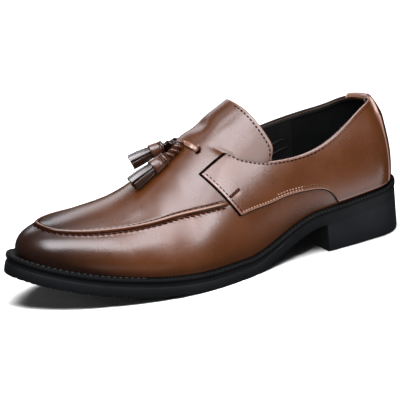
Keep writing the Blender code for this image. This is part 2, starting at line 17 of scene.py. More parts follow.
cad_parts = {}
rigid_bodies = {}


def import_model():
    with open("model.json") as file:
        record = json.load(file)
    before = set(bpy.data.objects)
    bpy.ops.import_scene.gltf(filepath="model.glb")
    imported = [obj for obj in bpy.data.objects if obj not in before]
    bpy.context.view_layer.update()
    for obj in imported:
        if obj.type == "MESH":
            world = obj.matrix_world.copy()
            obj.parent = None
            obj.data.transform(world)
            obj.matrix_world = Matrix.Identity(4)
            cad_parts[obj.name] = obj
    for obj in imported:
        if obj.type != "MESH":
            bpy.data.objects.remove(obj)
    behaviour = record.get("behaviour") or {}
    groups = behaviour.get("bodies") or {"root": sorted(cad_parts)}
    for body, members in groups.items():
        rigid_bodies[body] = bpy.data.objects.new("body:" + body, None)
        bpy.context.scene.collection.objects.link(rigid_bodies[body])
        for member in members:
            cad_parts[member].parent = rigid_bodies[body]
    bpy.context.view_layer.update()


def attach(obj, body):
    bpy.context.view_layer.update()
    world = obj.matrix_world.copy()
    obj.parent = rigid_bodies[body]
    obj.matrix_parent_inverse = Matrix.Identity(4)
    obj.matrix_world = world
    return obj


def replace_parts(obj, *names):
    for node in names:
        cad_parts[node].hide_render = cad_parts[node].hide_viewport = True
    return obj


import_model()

MM = 0.001
GAP = 0.3
SIDES = ("lateral", "medial")
UP = (0.0, 0.0, 1.0)
WHITE = (1.0, 1.0, 1.0)

# Camera: the photograph's own view in degrees and metres, with its aim in millimetres
CAMERA_AZIMUTH = -26.57
CAMERA_ELEVATION = 17.58
CAMERA_ROLL = -4.67
CAMERA_DISTANCE = 2.465
CAMERA_LENS = 321.4
CAMERA_SENSOR = 36.0
CAMERA_FAR = 50.0
CAMERA_AIM = (-0.45, 4.2, 45.0)
CAMERA_NUDGE = (-0.40, 1.42)

# Sole: its forms along the bottom, and its outline as along, lateral and medial half width
SOLE_LENGTH = 300.0
TREAD_BACK = 141.0
TREAD_FRONT = 165.0
TOE_SPRING = 26.0
TOE_CURVE = 1.9
HEEL_BREAST = 71.0
SEAT_HEIGHT = 19.3
SEAT_RISE = 4.3
TOE_TIP_OUT = -0.4
OUTLINE = (
    (14, 26.5, 25.0), (30, 31.5, 31.5), (50, 34.0, 33.5), (75, 36.0, 32.0), (100, 39.0, 28.5),
    (125, 44.5, 27.5), (150, 51.0, 30.5), (175, 55.5, 37.5), (195, 55.5, 43.0), (212, 53.5, 46.5),
    (228, 50.0, 47.5), (243, 46.5, 46.5), (257, 42.0, 43.5), (270, 36.0, 38.0), (283, 27.5, 30.0),
    (293, 17.5, 20.5),
)

# Height of outsole and welt together, and the upper's inset from the sole's edge, by along
STACK = ((0, 11.5), (75, 11.5), (150, 13.5), (300, 13.5))
MARGIN = (
    (0, 4.4), (30, 3.8), (70, 3.4), (110, 3.8), (200, 4.2), (255, 4.2), (285, 4.9), (300, 6.0),
)
EDGE_ROUND = 0.9
LEAN_HEIGHT = 2.4
RIB_LOW = 7.2
RIB_STEP = 0.8
RIB_FADE = (96.0, 140.0)
SOLE_COLUMNS = 19
ROUND_FADE = (HEEL_BREAST - 4.0, HEEL_BREAST + 6.0)

# Tread: its pitch, height, cut and bow, and where it starts and stops from the edge and along
TREAD_PITCH = 6.2
TREAD_HEIGHT = 1.1
TREAD_CUT = (2.2, 0.4)
TREAD_BOW = 0.012
FORE_TREAD = ((0.12, 0.2), (148, 156), (280, 288))
HEEL_TREAD = ((0.14, 0.22), (10, 16), (58, 64))
TEETH_PITCH = 2.7
TEETH_HEIGHT = 0.9
TEETH_CUT = (1.6, 0.3)
TEETH_FADE = (222, 236)

# Heel block: inset and height off the floor, up to its joint with the outsole
HEEL_STEPS = ((1.2, 0.0), (0.4, 0.3), (0.0, 1.2), (0.0, 9.0))

# Welt edge: inset, more inset in a notch, height, depth of a notch
WELT_THICKNESS = 3.0
WELT_LIP = 0.6
WELT_EDGE = (
    (0.1, 0.0, 0.0, 0.0),
    (0.0, 0.0, 0.35, 0.0),
    (0.0, 0.0, WELT_THICKNESS - 1.0, 0.35),
    (0.3, 0.12, WELT_THICKNESS - 0.3, 0.6),
    (0.9, 0.0, WELT_THICKNESS, 0.7),
    (1.9, 0.0, WELT_THICKNESS, 0.55),
    (2.7, 0.0, WELT_THICKNESS - 0.05, 0.0),
)
NOTCH_PITCH = 2.6
NOTCH_CUT = (1.7, 0.35)
WELT_SEWING_IN = 2.75
WELT_SEWING_BACK = 222.0
INSOLE_ABOVE_WELT = 2.0
SOCK_DISH = 0.9

# Upper: crest as along, height and side; section as along, wall, bulge and crown; collar's edge
# as along, lateral and medial height
WALL = 2.0
HEEL_FAN = 42.0
TOE_FAN = 262.0
FAN_SOFT = 22.0
CREST = (
    (40, 112.0, 0.0), (70, 121.0, -1.0), (100, 124.0, -2.0), (120, 113.5, -2.5), (140, 104.0, -2.5),
    (160, 93.0, -2.5), (180, 80.0, -2.0), (208, 65.0, -1.0), (235, 60.0, 0.0), (262, 56.5, 0.0),
)
SHAPE = (
    (0, 0.40, 4.0, 0.86), (40, 0.42, 4.6, 0.90), (90, 0.50, 3.0, 0.80), (130, 0.50, 2.0, 0.66),
    (180, 0.52, 3.0, 0.50), (230, 0.58, 3.5, 0.52), (270, 0.62, 3.0, 0.58), (300, 0.58, 1.6, 0.60),
)
TOPLINE = (
    (0, 93.0, 93.0), (12, 94.3, 91.8), (30, 92.0, 86.8), (50, 84.0, 83.9), (68, 76.6, 82.2),
    (85, 73.1, 80.7), (105, 73.1, 79.6), (118, 74.7, 80.3), (130, 78.3, 82.0), (150, 86.0, 87.5),
)

# Apron's seam as along and share, and the tongue's edge as share and along
APRON = (
    (150, 0.33), (168, 0.38), (184, 0.435), (214, 0.51), (243, 0.555), (264, 0.625), (277, 0.69),
    (296, 0.79),
)
TONGUE = (
    (0.30, 109.5), (0.395, 108.6), (0.415, 107.3), (0.43, 106.8), (0.45, 106.9), (0.50, 108.5),
    (0.65, 113.7), (0.80, 118.0), (0.90, 120.2), (0.96, 120.9), (1.0, 121.1),
)
TONGUE_SIDE = 106.5
TONGUE_SPREAD = 160.0
EDGE_COLUMNS = (2.4, 1.8, 1.3, 0.9, 0.6, 0.35, 0.15, 0.0)
TIP_CURL = 0.2
TIP_REACH = 5.0
TIP_DROP = 0.45
TIP_ROUND = 0.6

# Relief across the apron's seam: the bead's height, half width and roundness, then grooves and
# gathers as height, millimetres above the seam and reach
SEAM_START = 148.0
SEAM_FULL = 157.0
SEAM_SPLIT = -2.0
SEAM_ROWS = (-6.0, 4.1, 0.4)
SEAM_RISE = (0.0, 2.0)
FRONT_COLUMNS = 296
LOW_ROWS = 28
HIGH_ROWS = 60
BACK_BLEND = 0.03
BEAD = (1.5, 1.4, 0.6)
GROOVES = ((-0.6, -1.9, 0.6), (-0.35, 1.9, 0.5))
GATHERS = (0.16, -3.7, 0.8)
GATHER_PITCH = 4.0

# Painted shadow in the seam's groove, a dark band: millimetres above the seam, and shares of the way down
# at its rows
SEAM_SHADOW = (-1.35, -0.6)
SEAM_SHADOW_ROWS = (0.0, 0.35, 0.7, 1.0)
SEAM_SHADOW_FACES = (0.1, -0.6)

# Whip stitches by the bead: millimetres above it at the start and end, half reach, width
WHIPS = ((-2.75, -3.45, 1.7, 1.1), (1.9, 2.1, 0.6, 0.5))
WHIP_HEIGHT = 0.9
WHIP_LIFT = 0.15

# Quarter: its lower seam as along and share, and its tab's corners the same way
QUARTER = (
    (59, 0.0), (62.5, 0.054), (67.5, 0.097), (74.5, 0.117), (85.5, 0.130), (100, 0.157),
    (116, 0.191), (133, 0.227), (142.5, 0.234),
)
QUARTER_FOOT = 0.014
TAB_POINT = (162.9, 0.587)
TAB_SHOULDER = (141.2, 0.597)
TAB_BLEND = 6.0
TAB_BOW = 1.6
TAB_BOW_REACH = 0.25
TAB_TOP = 0.32
OVERLAY = 1.6
OVERLAY_LIFT = 0.2
OVERLAY_ROUND = 0.8
WALL_SHARE = 0.72
# The flares spread the quarter's dark painted rim out past its edge over the leather below, as painted
# shadow under the edge
EDGE_FLARE = 0.8
TAB_FLARE = 2.0
FORM_ON_QUARTER = 0.3

# Steps close to an overlay's edge, and where its even rows start
EDGE_STEPS = (0.0, 0.15, 0.35, 0.6, 0.9, 1.3, 1.8)
EVEN_FROM = 2.4

# Back strip: half width and rise over the quarters by share of the way up, its way over the
# collar as height over the edge, outer and inner lift, and the breadth of each side
BACK_STRIP = ((0.0, 24.0), (0.82, 24.5), (1.0, 17.0))
STRIP_RISE = ((0.0, 0.4), (0.5, 0.4), (0.62, 0.8), (0.76, 1.9), (1.0, 1.8))
STRIP_WRAP = ((0.9, 2.7, 1.2), (1.6, 1.6, 0.6), (1.8, 0.4, 0.0), (1.5, -0.9, -0.6), (0.9, -1.7, -1.2))
STRIP_WIDE = {"lateral": 1.0, "medial": 1.35}
STRIP_FOOT = QUARTER_FOOT * 1.6
STRIP_UNDER = 0.6
STRIP_SEWING = 9
WRAP_RISE = 0.5
# Painted highlight on the strip's top, where it wraps over the collar
WRAP_HIGHLIGHT = 0.3
# Painted shade on the strip's sides towards the top, which face away from the lights: strength, its rise
# and fall from the edge, and where it starts up the strip
STRIP_SHADE_STRENGTH = 0.7
STRIP_SHADE = ((0.9, 1.7), (5.0, 11.0))
STRIP_SHADE_UP = (0.3, 0.6)

# Rolled edge of the collar: lift off the upper's face and height over the collar's edge
ROLL_FRONT = 113.0
# Painted highlight on the roll: strong past a lift on its outer face, faint elsewhere
ROLL_HIGHLIGHT_FROM = 1.2
ROLL_HIGHLIGHT = (0.75, 0.1)
ROLL_LINED = 0.7
ROLL_PROFILE = (
    (0.9, -1.0), (1.5, -0.3), (1.35, 0.25), (0.6, 0.5), (-0.4, 0.5), (-1.3, 0.2), (-2.0, -0.6),
    (-2.35, -1.4), (-2.4, -3.4), (-1.6, -4.2), (0.0, -3.2),
)

# Soft troughs and ridges on both sides: along, share, reach along, reach in share, lift. The
# instep's dip reaches further down the medial side
DIP_REACH = {"lateral": 0.11, "medial": 0.17}
INSTEP_DIP = (147.0, 1.0, 6.5, -2.3)
FORMS = (
    (141.0, 0.665, 9.0, 0.07, -0.9),
    (178.0, 0.62, 3.5, 0.30, -0.22),
    (188.0, 0.66, 4.0, 0.26, 0.18),
    (198.0, 0.60, 4.5, 0.28, -0.20),
    (185.0, 0.24, 14.0, 0.10, 0.35),
)

# Fold by the tab's shoulder: start and end as along and share, width, lift
FOLD = ((142.5, 0.62), (148.0, 0.70), 2.0, -0.75)
SHARE_LENGTH = 95.0

# Tints: strength, middle and reach, across the seam, from an edge or in share of the section
TOE_BURNISH = 0.86
TOE_FADE = (214, 290)
BURNISH_MOST = 0.93
# Darker low along the welt: a narrow line and a broad fade
WELT_DARK = (0.45, 0.0, 0.06)
WELT_SHADE = (0.14, 0.0, 0.2)
# Painted highlight on the apron's bead: the dark kept off its top, and a light line along it
BEAD_HIGHLIGHT_CLEAR = (0.8, 0.3, 0.9)
BEAD_HIGHLIGHT = (0.95, 0.35, 0.5)
# Painted shade in the grooves either side of the bead
SEAM_GROOVE_SHADE = ((0.8, -1.8, 0.45), (0.65, 2.1, 0.45))
# Painted highlight along the tongue's rounded edge
TONGUE_EDGE_HIGHLIGHT = (0.35, 0.6, 0.9)
EDGE_DARK = (0.8, 0.0, 0.3)
# Painted highlight just in from the quarter's lower and front edges
EDGE_HIGHLIGHT = (0.5, 0.9, 0.5)
# Painted highlight along the back strip's edges
STRIP_EDGE_HIGHLIGHT = (0.7, 0.4, 0.5)
# Painted highlight beside the sewn bar on the tab
BAR_HIGHLIGHT = ((0.6, 141.5, 2.2), (1.0, 0.348, 0.010))
HEEL_DARK = 0.24
HEEL_FADE = (8.0, 62.0)
# Painted shade in the lace's holes
PIT_SHADE = 0.97
# Painted shadow on the leather under an overlay's edge: strength, width and reach
EDGE_SHADOW = 0.6
EDGE_SHADOW_WIDTH = 1.2
EDGE_SHADOW_REACH = 4.0

# Rows of sewing: inset from the edge, painted shade in the groove of three of them, and where each row
# stops
TOP_ROW = 1.7
FRONT_ROW = 2.5
SEAM_ROW = 2.0
SECOND_ROW = 4.0
STITCH_IN = 2.8
TOP_ROW_SHADE = (0.4, TOP_ROW, 0.5)
FRONT_ROW_SHADE = (0.4, FRONT_ROW, 0.5)
TONGUE_ROW_SHADE = (0.45, STITCH_IN, 0.55)
TONGUE_SEWING = (0.405, 0.88)
TONGUE_ROW_SHADE_FADE = (0.86, 0.89)
REAR_SEWING = 88.0
SEAT_SEWING = 68.0

# Stitches: pitch, length, width, height
TOP_STITCH = (3.2, 2.75, 1.35, 0.9)
FRONT_STITCH = (3.2, 2.6, 1.0, 0.8)
TONGUE_STITCH = (3.15, 2.3, 1.4, 0.9)
SEAT_STITCH = (2.4, 1.7, 0.75, 0.7)
STRIP_STITCH = (2.8, 1.9, 0.8, 0.7)
SEAM_STITCHES = {"seam": (2.5, 1.8, 1.1, 0.8), "second": (2.5, 1.8, 0.95, 0.8)}
WELT_STITCH = (4.1, 2.7, 0.7, 0.6)

# A stitch along its length: share of it, fullness, and dip in half heights
STITCH_SHAPE = (
    (0.0, 0.6, -1.3), (0.07, 0.9, -0.4), (0.22, 1.0, 0.0), (0.5, 1.0, 0.15), (0.78, 1.0, 0.0),
    (0.93, 0.9, -0.4), (1.0, 0.6, -1.3),
)
STITCH_SIDES = 6
STITCH_SINK = 0.25

# Sewn bar on each tab: its ends as along and share, its size, and the stitches across it
BAR_ENDS = ((148.2, 0.357), (139.9, 0.369))
BAR_SIZE = (2.3, 0.8)
BAR_POINTS = 40
BAR_CROSSINGS = 6
BAR_SLANT = 0.5
BAR_REACH = 1.5
BAR_STITCH = (0.55, 1.0, 0.0)

# Elastic gores inside the collar, and wrinkles across them as along at the start and end, and
# millimetres below the collar at both
GORE = (60.5, 104.0)
GORE_FOOT = 0.30
GORE_BELOW = 3.0
GORE_RIB = 0.28
GORE_IN = 0.25
GORE_THICK = 0.35
GORE_PITCH = 1.9
WRINKLES = ((84.0, 68.0, 16.0, 14.0), (80.0, 64.0, 22.0, 20.5), (88.0, 76.0, 26.0, 25.5))
WRINKLE_POINTS = 24
WRINKLE_SIZE = (1.5, 0.8)
WRINKLE_IN = 0.9

# Lace: its hole as along and share, and its way from under the hole over the upper to the knot
LACE_WIDTH = 4.0
LACE_NARROW = 0.94
LACE_THICKNESS = 1.2
LACE_HOLE = (157.5, 0.76)
HOLE_EDGE = (1.7, 2.5)
HOLE_DEPTH = 1.9
# Painted shade in each hole: a dark disc on its floor, as radius and lift
HOLE_SHADOW_DISC = ((0.1, -1.9), (2.0, -1.9), (2.0, -1.45), (0.1, -1.45))
LACE_RIDGE = {"lateral": 163.0, "medial": 166.5}
LACE_DIP = 0.06
LACE_SINKS = (-2.6, -0.6)
LACE_STEPS = {"lateral": (0.27, 0.6), "medial": (0.2, 0.42, 0.7, 1.0)}
LACE_LIFT = (0.8, 1.0)
LACE_HIGHEST = 0.998
LACE_TURN = {"lateral": 0.0, "medial": 1.0}
LACE_UP = (0.3, 0.0, 1.0)
# Painted highlight on the lateral flat lace
LACE_HIGHLIGHT = {"lateral": 0.7, "medial": 0.0}
LACE_POINTS = 48
STEM_POINTS = 60
BAND_SIDES = 14
BAND_ROUND = 0.6

# Knot: a wrapped lump, and a dark lump of painted shade that fills the room behind it
KNOT_CENTRE = (167.5, 5.5, 91.3)
KNOT_RADII = (3.4, 3.8, 2.8)
KNOT_SHADE_FILL = (171.3, 0.8, 88.6)
KNOT_SHADE_FILL_RADII = (3.4, 4.4, 3.0)
KNOT_TURNS = (1.5, 2.6)
KNOT_POLE = 0.06
KNOT_RELIEF = 0.16
KNOT_LEVEL = 0.8
KNOT_GROOVE = 0.35
# Darkness of the wrapped lump: its dark tone, and painted shade in the grooves between its turns
KNOT_TONE_AND_GROOVE_SHADE = (0.6, 0.3)

# Twisted lace ends
STEM_START = {"lateral": (164.0, 6.5, 92.8), "medial": (165.8, 1.4, 90.9)}
STEM_INSIDE = 9.0
STEM_HANDLE = 0.4
TWIST_TURNS = {"lateral": 2.6, "medial": 2.0}
TWIST_STRAND = {"lateral": 1.95, "medial": 1.45}
TWIST_REACH = {"lateral": 1.2, "medial": 0.8}
# Painted shade over the whole medial end, and between the strands
TWIST_SHADE = {"lateral": 0.0, "medial": 0.6}
TWIST_SIDES = 12
# Reach of the painted shade between the strands
TWIST_SHADE_REACH = 1.2
TWIST_TIP = 0.3
TWIST_FULL = 1.6
DARKEST = 0.95

# Tassels: start and end, the cap as share of the length, radius and darkness, and the strips'
# rounds as count, reach at the cap and at the end, and share of the round that they fill
TASSELS = {
    "lateral": ((175.0, 9.0, 86.7), (205.0, 7.5, 71.5)),
    "medial": ((170.0, -3.0, 90.6), (196.0, -10.0, 81.0)),
}
TASSEL_SEED = {"lateral": 7, "medial": 11}
CAP_START = 0.12
CAP_SCALE = 0.85
CAP_GIRTH = 1.12
CAP_SIDES = 40
# The cap's darkness is painted shade, in its ring grooves and at both ends
CAP_PROFILE = (
    (-0.020, 0.8, 0.5), (-0.016, 2.7, 0.5), (0.000, 3.6, 0.3), (0.025, 4.0, 0.0), (0.050, 3.95, 0.1),
    (0.062, 3.55, 0.8), (0.075, 3.9, 0.1), (0.100, 4.05, 0.0), (0.112, 3.65, 0.7), (0.125, 4.0, 0.0),
    (0.220, 4.3, 0.0), (0.330, 4.55, 0.0), (0.385, 4.6, 0.1), (0.400, 4.4, 0.5), (0.402, 3.6, 0.9),
    (0.390, 0.8, 0.9),
)
CUT_ROUNDS = ((7, 3.4, 4.9, 0.8), (5, 1.6, 2.8, 0.95))
CUT_FROM = 0.42
CUT_THICK = 0.95
CUT_SIDES = 12
CUT_CURVE = 0.8
CUT_BULGE = 0.35

# How uneven the strips are: turn about the tassel, reach, shortness and sway
UNEVEN_TURN = (-0.1, 0.1)
UNEVEN_REACH = (0.95, 1.04)
UNEVEN_END = (0.0, 0.035)
UNEVEN_SWAY = (-0.12, 0.12)

# Darkness of a strip, a dark tone with painted shade that deepens towards the cap: at the cap, its loss to
# the end, least, most, and more on the edges
CUT_TONE_AND_SHADE = (0.95, 1.2, 0.5, 0.9)
CUT_EDGE_DARK = 0.6

# Light: name, place, aim, width, height, roll, power, whether it shows in gloss, what it lights
MIDDLE = (0.0, 0.0, 0.05)
LIGHTS = (
    ("key", (-0.35, -0.50, 1.18), MIDDLE, 1.45, 0.66, 0.0, 19.5, True, "shoe"),
    ("toe_card", (-0.85, -0.50, 0.98), (-0.1, 0.0, 0.05), 0.35, 0.35, 0.0, 1.6, True, "shoe"),
    ("strip", (0.50, -1.03, 0.58), MIDDLE, 0.34, 0.82, 18.0, 7.2, True, "sides"),
    ("tongue_strip", (0.42, -1.07, 0.58), MIDDLE, 0.56, 0.82, 18.0, 5.0, True, "tongue"),
    ("gap_card", (0.25, -0.86, 0.85), MIDDLE, 0.36, 0.26, 18.0, 1.3, True, "shoe"),
    ("top", (0.04, 0.48, 1.36), MIDDLE, 0.8, 0.35, 0.0, 1.0, True, "shoe"),
    ("rear", (0.22, 1.08, 0.68), (0.0, 0.0, 0.04), 0.8, 0.45, 0.0, 2.6, True, "shoe"),
    ("fill", (0.70, -1.22, 0.56), MIDDLE, 0.8, 0.5, 0.0, 7.5, False, "shoe"),
    ("second_fill", (-0.68, -1.18, 0.68), MIDDLE, 0.8, 0.5, 0.0, 8.0, False, "shoe"),
    ("table", (0.185, -0.075, 0.004), (0.185, -0.075, 0.5), 0.13, 0.035, 0.0, 0.022, True, "shoe"),
    ("table_waist", (0.134, -0.105, 0.003), (0.134, -0.105, 0.5), 0.04, 0.03, 0.0, 0.0046, True, "leather"),
    ("table_vamp", (-0.09, -0.165, 0.003), (-0.09, -0.165, 0.5), 0.13, 0.06, 0.0, 0.014, True, "leather"),
    ("tongue_card", (-0.016, -0.004, 0.42), (-0.016, -0.004, 0.0), 0.052, 0.09, 0.0, 0.092, True, "tongue"),
    ("tassel_card", (-0.36, 0.0, 1.15), (-0.02, 0.0, 0.09), 0.7, 0.5, 0.0, 6.5, True, "tassels"),
    ("floor_side", (-1.2, 0.35, 0.42), (-0.12, 0.0, 0.0), 0.7, 0.4, 0.0, 1.2, False, "floor"),
    ("floor_toe", (-0.13, -0.33, 0.46), (-0.11, -0.05, 0.0), 0.2, 0.2, 0.0, 0.7, False, "floor"),
    ("overhead", (0.0, 0.1, 2.2), (0.0, 0.1, 0.0), 2.0, 2.0, 0.0, 150.0, False, "floor"),
)
LIGHT_COLOUR = (1.0, 0.975, 1.03)
WORLD_LIGHT = 0.05
BEAMS = {"floor_toe": 34.0}
OPEN_BEAM = 180.0
GLOSS_ONLY = ("tongue_card", "tongue_strip", "gap_card")

# What a light reaches: pieces by the start of their names, alone or all but these
LIT = {
    "shoe": ("EXCLUDE", ("floor",)),
    "floor": ("INCLUDE", ("floor",)),
    "sides": ("EXCLUDE", ("floor", "apron_and_tongue")),
    "tassels": ("INCLUDE", ("cut_tassel", "lace_lateral")),
    "tongue": ("INCLUDE", ("apron_and_tongue",)),
    "leather": ("INCLUDE", ("vamp", "sewn_quarter")),
}
FLOOR_SIZE = 4.0

# Noise in the materials: scale, detail and roughness; and depths of bumps in metres
LEATHER_CLOUD = (42.0, 4.0, 0.55)
LEATHER_SPECK = (900.0, 2.0, 0.6)
LEATHER_GRAIN = (520.0, 5.0, 0.62)
LEATHER_PORES = 1150.0
GRAIN_DEPTH = 0.00016
PORE_DEPTH = 0.00005
RUBBER_CLOUD = 60.0
SKIN_DEPTH = 0.00008
PLY_SCALE = 900.0
PLY_DEPTH = 0.0001

# Curves


def lookup(rows, where):
    """Value of a table of two columns, in straight lines between its rows."""
    x, y = np.array(rows, float).T
    return np.interp(where, x, y)


def cubic(a, b, ends, bends, h):
    """Cubic between two ends with their bends: a and b are the shares of each end."""
    return a * ends[0] + b * ends[1] + ((a ** 3 - a) * bends[0] + (b ** 3 - b) * bends[1]) * h ** 2 / 6


def spline(rows, column):
    """Natural cubic spline through one column of a table, over its first column."""
    table = np.array(rows, float)
    x = table[:, 0]
    y = table[:, column]
    h = np.diff(x)
    count = len(x)
    matrix = np.eye(count)
    right = np.zeros(count)
    for i in range(1, count - 1):
        matrix[i, i - 1:i + 2] = h[i - 1], 2 * (h[i - 1] + h[i]), h[i]
        right[i] = 6 * ((y[i + 1] - y[i]) / h[i] - (y[i] - y[i - 1]) / h[i - 1])
    bend = np.linalg.solve(matrix, right)

    def value(where):
        where = np.clip(np.asarray(where, float), x[0], x[-1])
        i = np.clip(np.searchsorted(x, where) - 1, 0, count - 2)
        a = (x[i + 1] - where) / h[i]
        b = (where - x[i]) / h[i]
        return cubic(a, b, (y[i], y[i + 1]), (bend[i], bend[i + 1]), h[i])

    return value


def closed_spline(points, steps=60):
    """Smooth closed curve through plan points, with a number of steps between each two."""
    p = np.array(points, float)
    count = len(p)
    h = np.sqrt(np.linalg.norm(np.roll(p, -1, 0) - p, axis=1))
    matrix = np.zeros((count, count))
    right = np.zeros((count, 2))
    for i in range(count):
        after = (i + 1) % count
        matrix[i, i - 1] += h[i - 1]
        matrix[i, i] += 2 * (h[i - 1] + h[i])
        matrix[i, after] += h[i]
        right[i] = 6 * ((p[after] - p[i]) / h[i] - (p[i] - p[i - 1]) / h[i - 1])
    bend = np.linalg.solve(matrix, right)
    b = np.linspace(0, 1, steps, endpoint=False)[:, None]
    runs = []
    for i in range(count):
        after = (i + 1) % count
        runs.append(cubic(1 - b, b, (p[i], p[after]), (bend[i], bend[after]), h[i]))
    return np.concatenate(runs)


def soft_min(a, b, width):
    near = np.clip(width - np.abs(a - b), 0, None) / width
    return np.minimum(a, b) - near * near * width / 4


def smooth_step(x, low, high):
    k = np.clip((np.asarray(x, float) - low) / (high - low), 0, 1)
    return k * k * (3 - 2 * k)


def bell(x, strength, centre, reach):
    """Soft bump of a strength, about a centre."""
    return strength * np.exp(-((x - centre) / reach) ** 2)


def most(first, *others):
    """Largest of several values, point by point."""
    for other in others:
        first = np.maximum(first, other)
    return first


def cut_wave(turns, cut):
    """Wave with its tops and hollows cut flat, from 0 to 1."""
    return np.clip(cut[0] * np.cos(2 * np.pi * turns) - cut[1], 0, 1)


def rounded(distance, radius):
    """Share of the full height near an edge: none at it, all of it from the radius on."""
    k = np.clip(distance / radius, 0, 1)
    return np.sqrt(1 - (1 - k) ** 2)


def bezier(p, v):
    w = 1 - v
    return w ** 3 * p[..., 0] + 3 * w * w * v * p[..., 1] + 3 * w * v * v * p[..., 2] + v ** 3 * p[..., 3]


def slope(curve, where):
    """Rise of a curve over the millimetre about a place."""
    return curve(where + 0.5) - curve(where - 0.5)


def unit(v):
    return v / np.maximum(np.linalg.norm(v, axis=-1), 1e-9)[..., None]


def axes_of(way, up=UP):
    """Two directions square to a way, the first of them level."""
    across = unit(np.cross(up, way))
    return across, np.cross(way, across)


def circle(count):
    """Even angles round a full turn."""
    return np.linspace(0, 2 * np.pi, count, endpoint=False)


def run_length(path):
    return np.concatenate([[0], np.cumsum(np.linalg.norm(np.diff(path, axis=0), axis=1))])


def follow(where, run, points):
    """Points at distances along a line, from its points and the run at each."""
    return np.stack([np.interp(where, run, points[:, k]) for k in range(3)], -1)


def smooth_path(points, count):
    """Even points on a smooth curve through a few."""
    p = np.array(points, float)
    run = run_length(p)
    rows = np.column_stack([run, p])
    fine = np.stack([spline(rows, k)(np.linspace(0, run[-1], 400)) for k in (1, 2, 3)], -1)
    length = run_length(fine)
    return follow(np.linspace(0, length[-1], count), length, fine)


# The sole's own surfaces


def sole_bottom(along):
    toe = np.clip((along - TREAD_FRONT) / (SOLE_LENGTH - TREAD_FRONT), 0, None)
    arch = smooth_step(TREAD_BACK - along, 0.0, TREAD_BACK - HEEL_BREAST)
    seat = np.clip(1 - along / HEEL_BREAST, 0, 1)
    return TOE_SPRING * toe ** TOE_CURVE + SEAT_HEIGHT * arch + SEAT_RISE * seat


def sole_point(along, out, rise):
    """Point at a rise off the sole's bottom, square to it where the toe springs."""
    pitch = np.where(along > TREAD_FRONT, np.arctan(slope(sole_bottom, along)), 0.0)
    return np.stack([along - rise * np.sin(pitch), out, sole_bottom(along) + rise * np.cos(pitch)], -1)


def stack_height(along):
    return lookup(STACK, along)


def outsole_height(along):
    return stack_height(along) - WELT_THICKNESS


def outline_loop():
    ring = [(0.0, 0.0)]
    ring += [(along, lateral) for along, lateral, medial in OUTLINE]
    ring += [(SOLE_LENGTH, TOE_TIP_OUT)]
    ring += [(along, -medial) for along, lateral, medial in reversed(OUTLINE)]
    return closed_spline(ring)


SOLE_LOOP = outline_loop()


def inset_loop(inset):
    tangent = np.roll(SOLE_LOOP, -1, 0) - np.roll(SOLE_LOOP, 1, 0)
    tangent /= np.linalg.norm(tangent, axis=1)[:, None]
    outward = np.stack([-tangent[:, 1], tangent[:, 0]], 1)
    return SOLE_LOOP - outward * np.broadcast_to(inset, len(SOLE_LOOP))[:, None]


def two_sides(loop):
    """A loop split into its lateral and medial side, each from the toe tip to the heel back."""
    loop = np.roll(loop, -int(np.argmin(loop[:, 0])), 0)
    tip = int(np.argmax(loop[:, 0]))
    return {"lateral": loop[:tip + 1][::-1], "medial": np.concatenate([loop[tip:], loop[:1]])}


UPPER_INSET = lookup(MARGIN, SOLE_LOOP[:, 0])
FEATHER = two_sides(inset_loop(UPPER_INSET))
FEATHER_RUN = {side: run_length(path)[-1] for side, path in FEATHER.items()}
FEATHER_SHARE = {side: run_length(path) / FEATHER_RUN[side] for side, path in FEATHER.items()}

# The upper's own function: a section at each place round the sole, from the welt up to the ridge

crest_height, crest_side = (spline(CREST, column) for column in (1, 2))
shape_wall, shape_bulge, shape_crown = (spline(SHAPE, column) for column in (1, 2, 3))
topline = {side: spline(TOPLINE, column) for column, side in enumerate(SIDES, 1)}
apron_share = spline(APRON, 1)
tongue_along = spline(TONGUE, 1)
quarter_share = spline(QUARTER, 1)


def feather(side, s):
    """Foot of the upper at a place, and how far along it is."""
    along = np.interp(s, FEATHER_SHARE[side], FEATHER[side][:, 0])
    out = np.interp(s, FEATHER_SHARE[side], FEATHER[side][:, 1])
    return sole_point(along, out, stack_height(along) + GAP), along


def place_at(side, along):
    return np.interp(-np.asarray(along, float), -FEATHER[side][:, 0], FEATHER_SHARE[side])


def section(side, s):
    """Foot, way inward and the section's four handles across and up."""
    foot, along = feather(side, s)
    c = -soft_min(-soft_min(along, TOE_FAN, FAN_SOFT), -HEEL_FAN, FAN_SOFT)
    run = np.stack([c, crest_side(c)], -1) - foot[..., :2]
    depth = np.linalg.norm(run, axis=-1)
    way = run / depth[..., None]
    rise = crest_height(c) - foot[..., 2]
    crown = depth * shape_crown(along)
    across = np.stack([0 * depth, -shape_bulge(along), depth - crown, depth], -1)
    high = rise - crown * slope(crest_height, c) * way[..., 0]
    upward = np.stack([0 * rise, shape_wall(along) * rise, high, rise], -1)
    return foot, way, across, upward


def upper_point(side, s, v):
    s, v = np.broadcast_arrays(np.asarray(s, float), np.asarray(v, float))
    foot, way, across, upward = section(side, s)
    q = bezier(across, v)
    return foot + np.stack([way[..., 0] * q, way[..., 1] * q, bezier(upward, v)], -1)


def upper_normal(side, s, v):
    step = 0.002
    s, v = np.broadcast_arrays(np.clip(s, step, 1 - step), np.clip(v, step, 1 - step))
    ds = upper_point(side, s + step, v) - upper_point(side, s - step, v)
    dv = upper_point(side, s, v + step) - upper_point(side, s, v - step)
    normal = np.cross(ds, dv) if side == "lateral" else np.cross(dv, ds)
    return normal / np.linalg.norm(normal, axis=-1)[..., None]


def upper_offset(side, s, v, lift):
    return upper_point(side, s, v) + upper_normal(side, s, v) * np.asarray(lift, float)[..., None]


def on_upper(side, s, v, lift):
    """Points at a lift off the upper's face, and its normals there."""
    return upper_offset(side, s, v, lift), upper_normal(side, s, v)


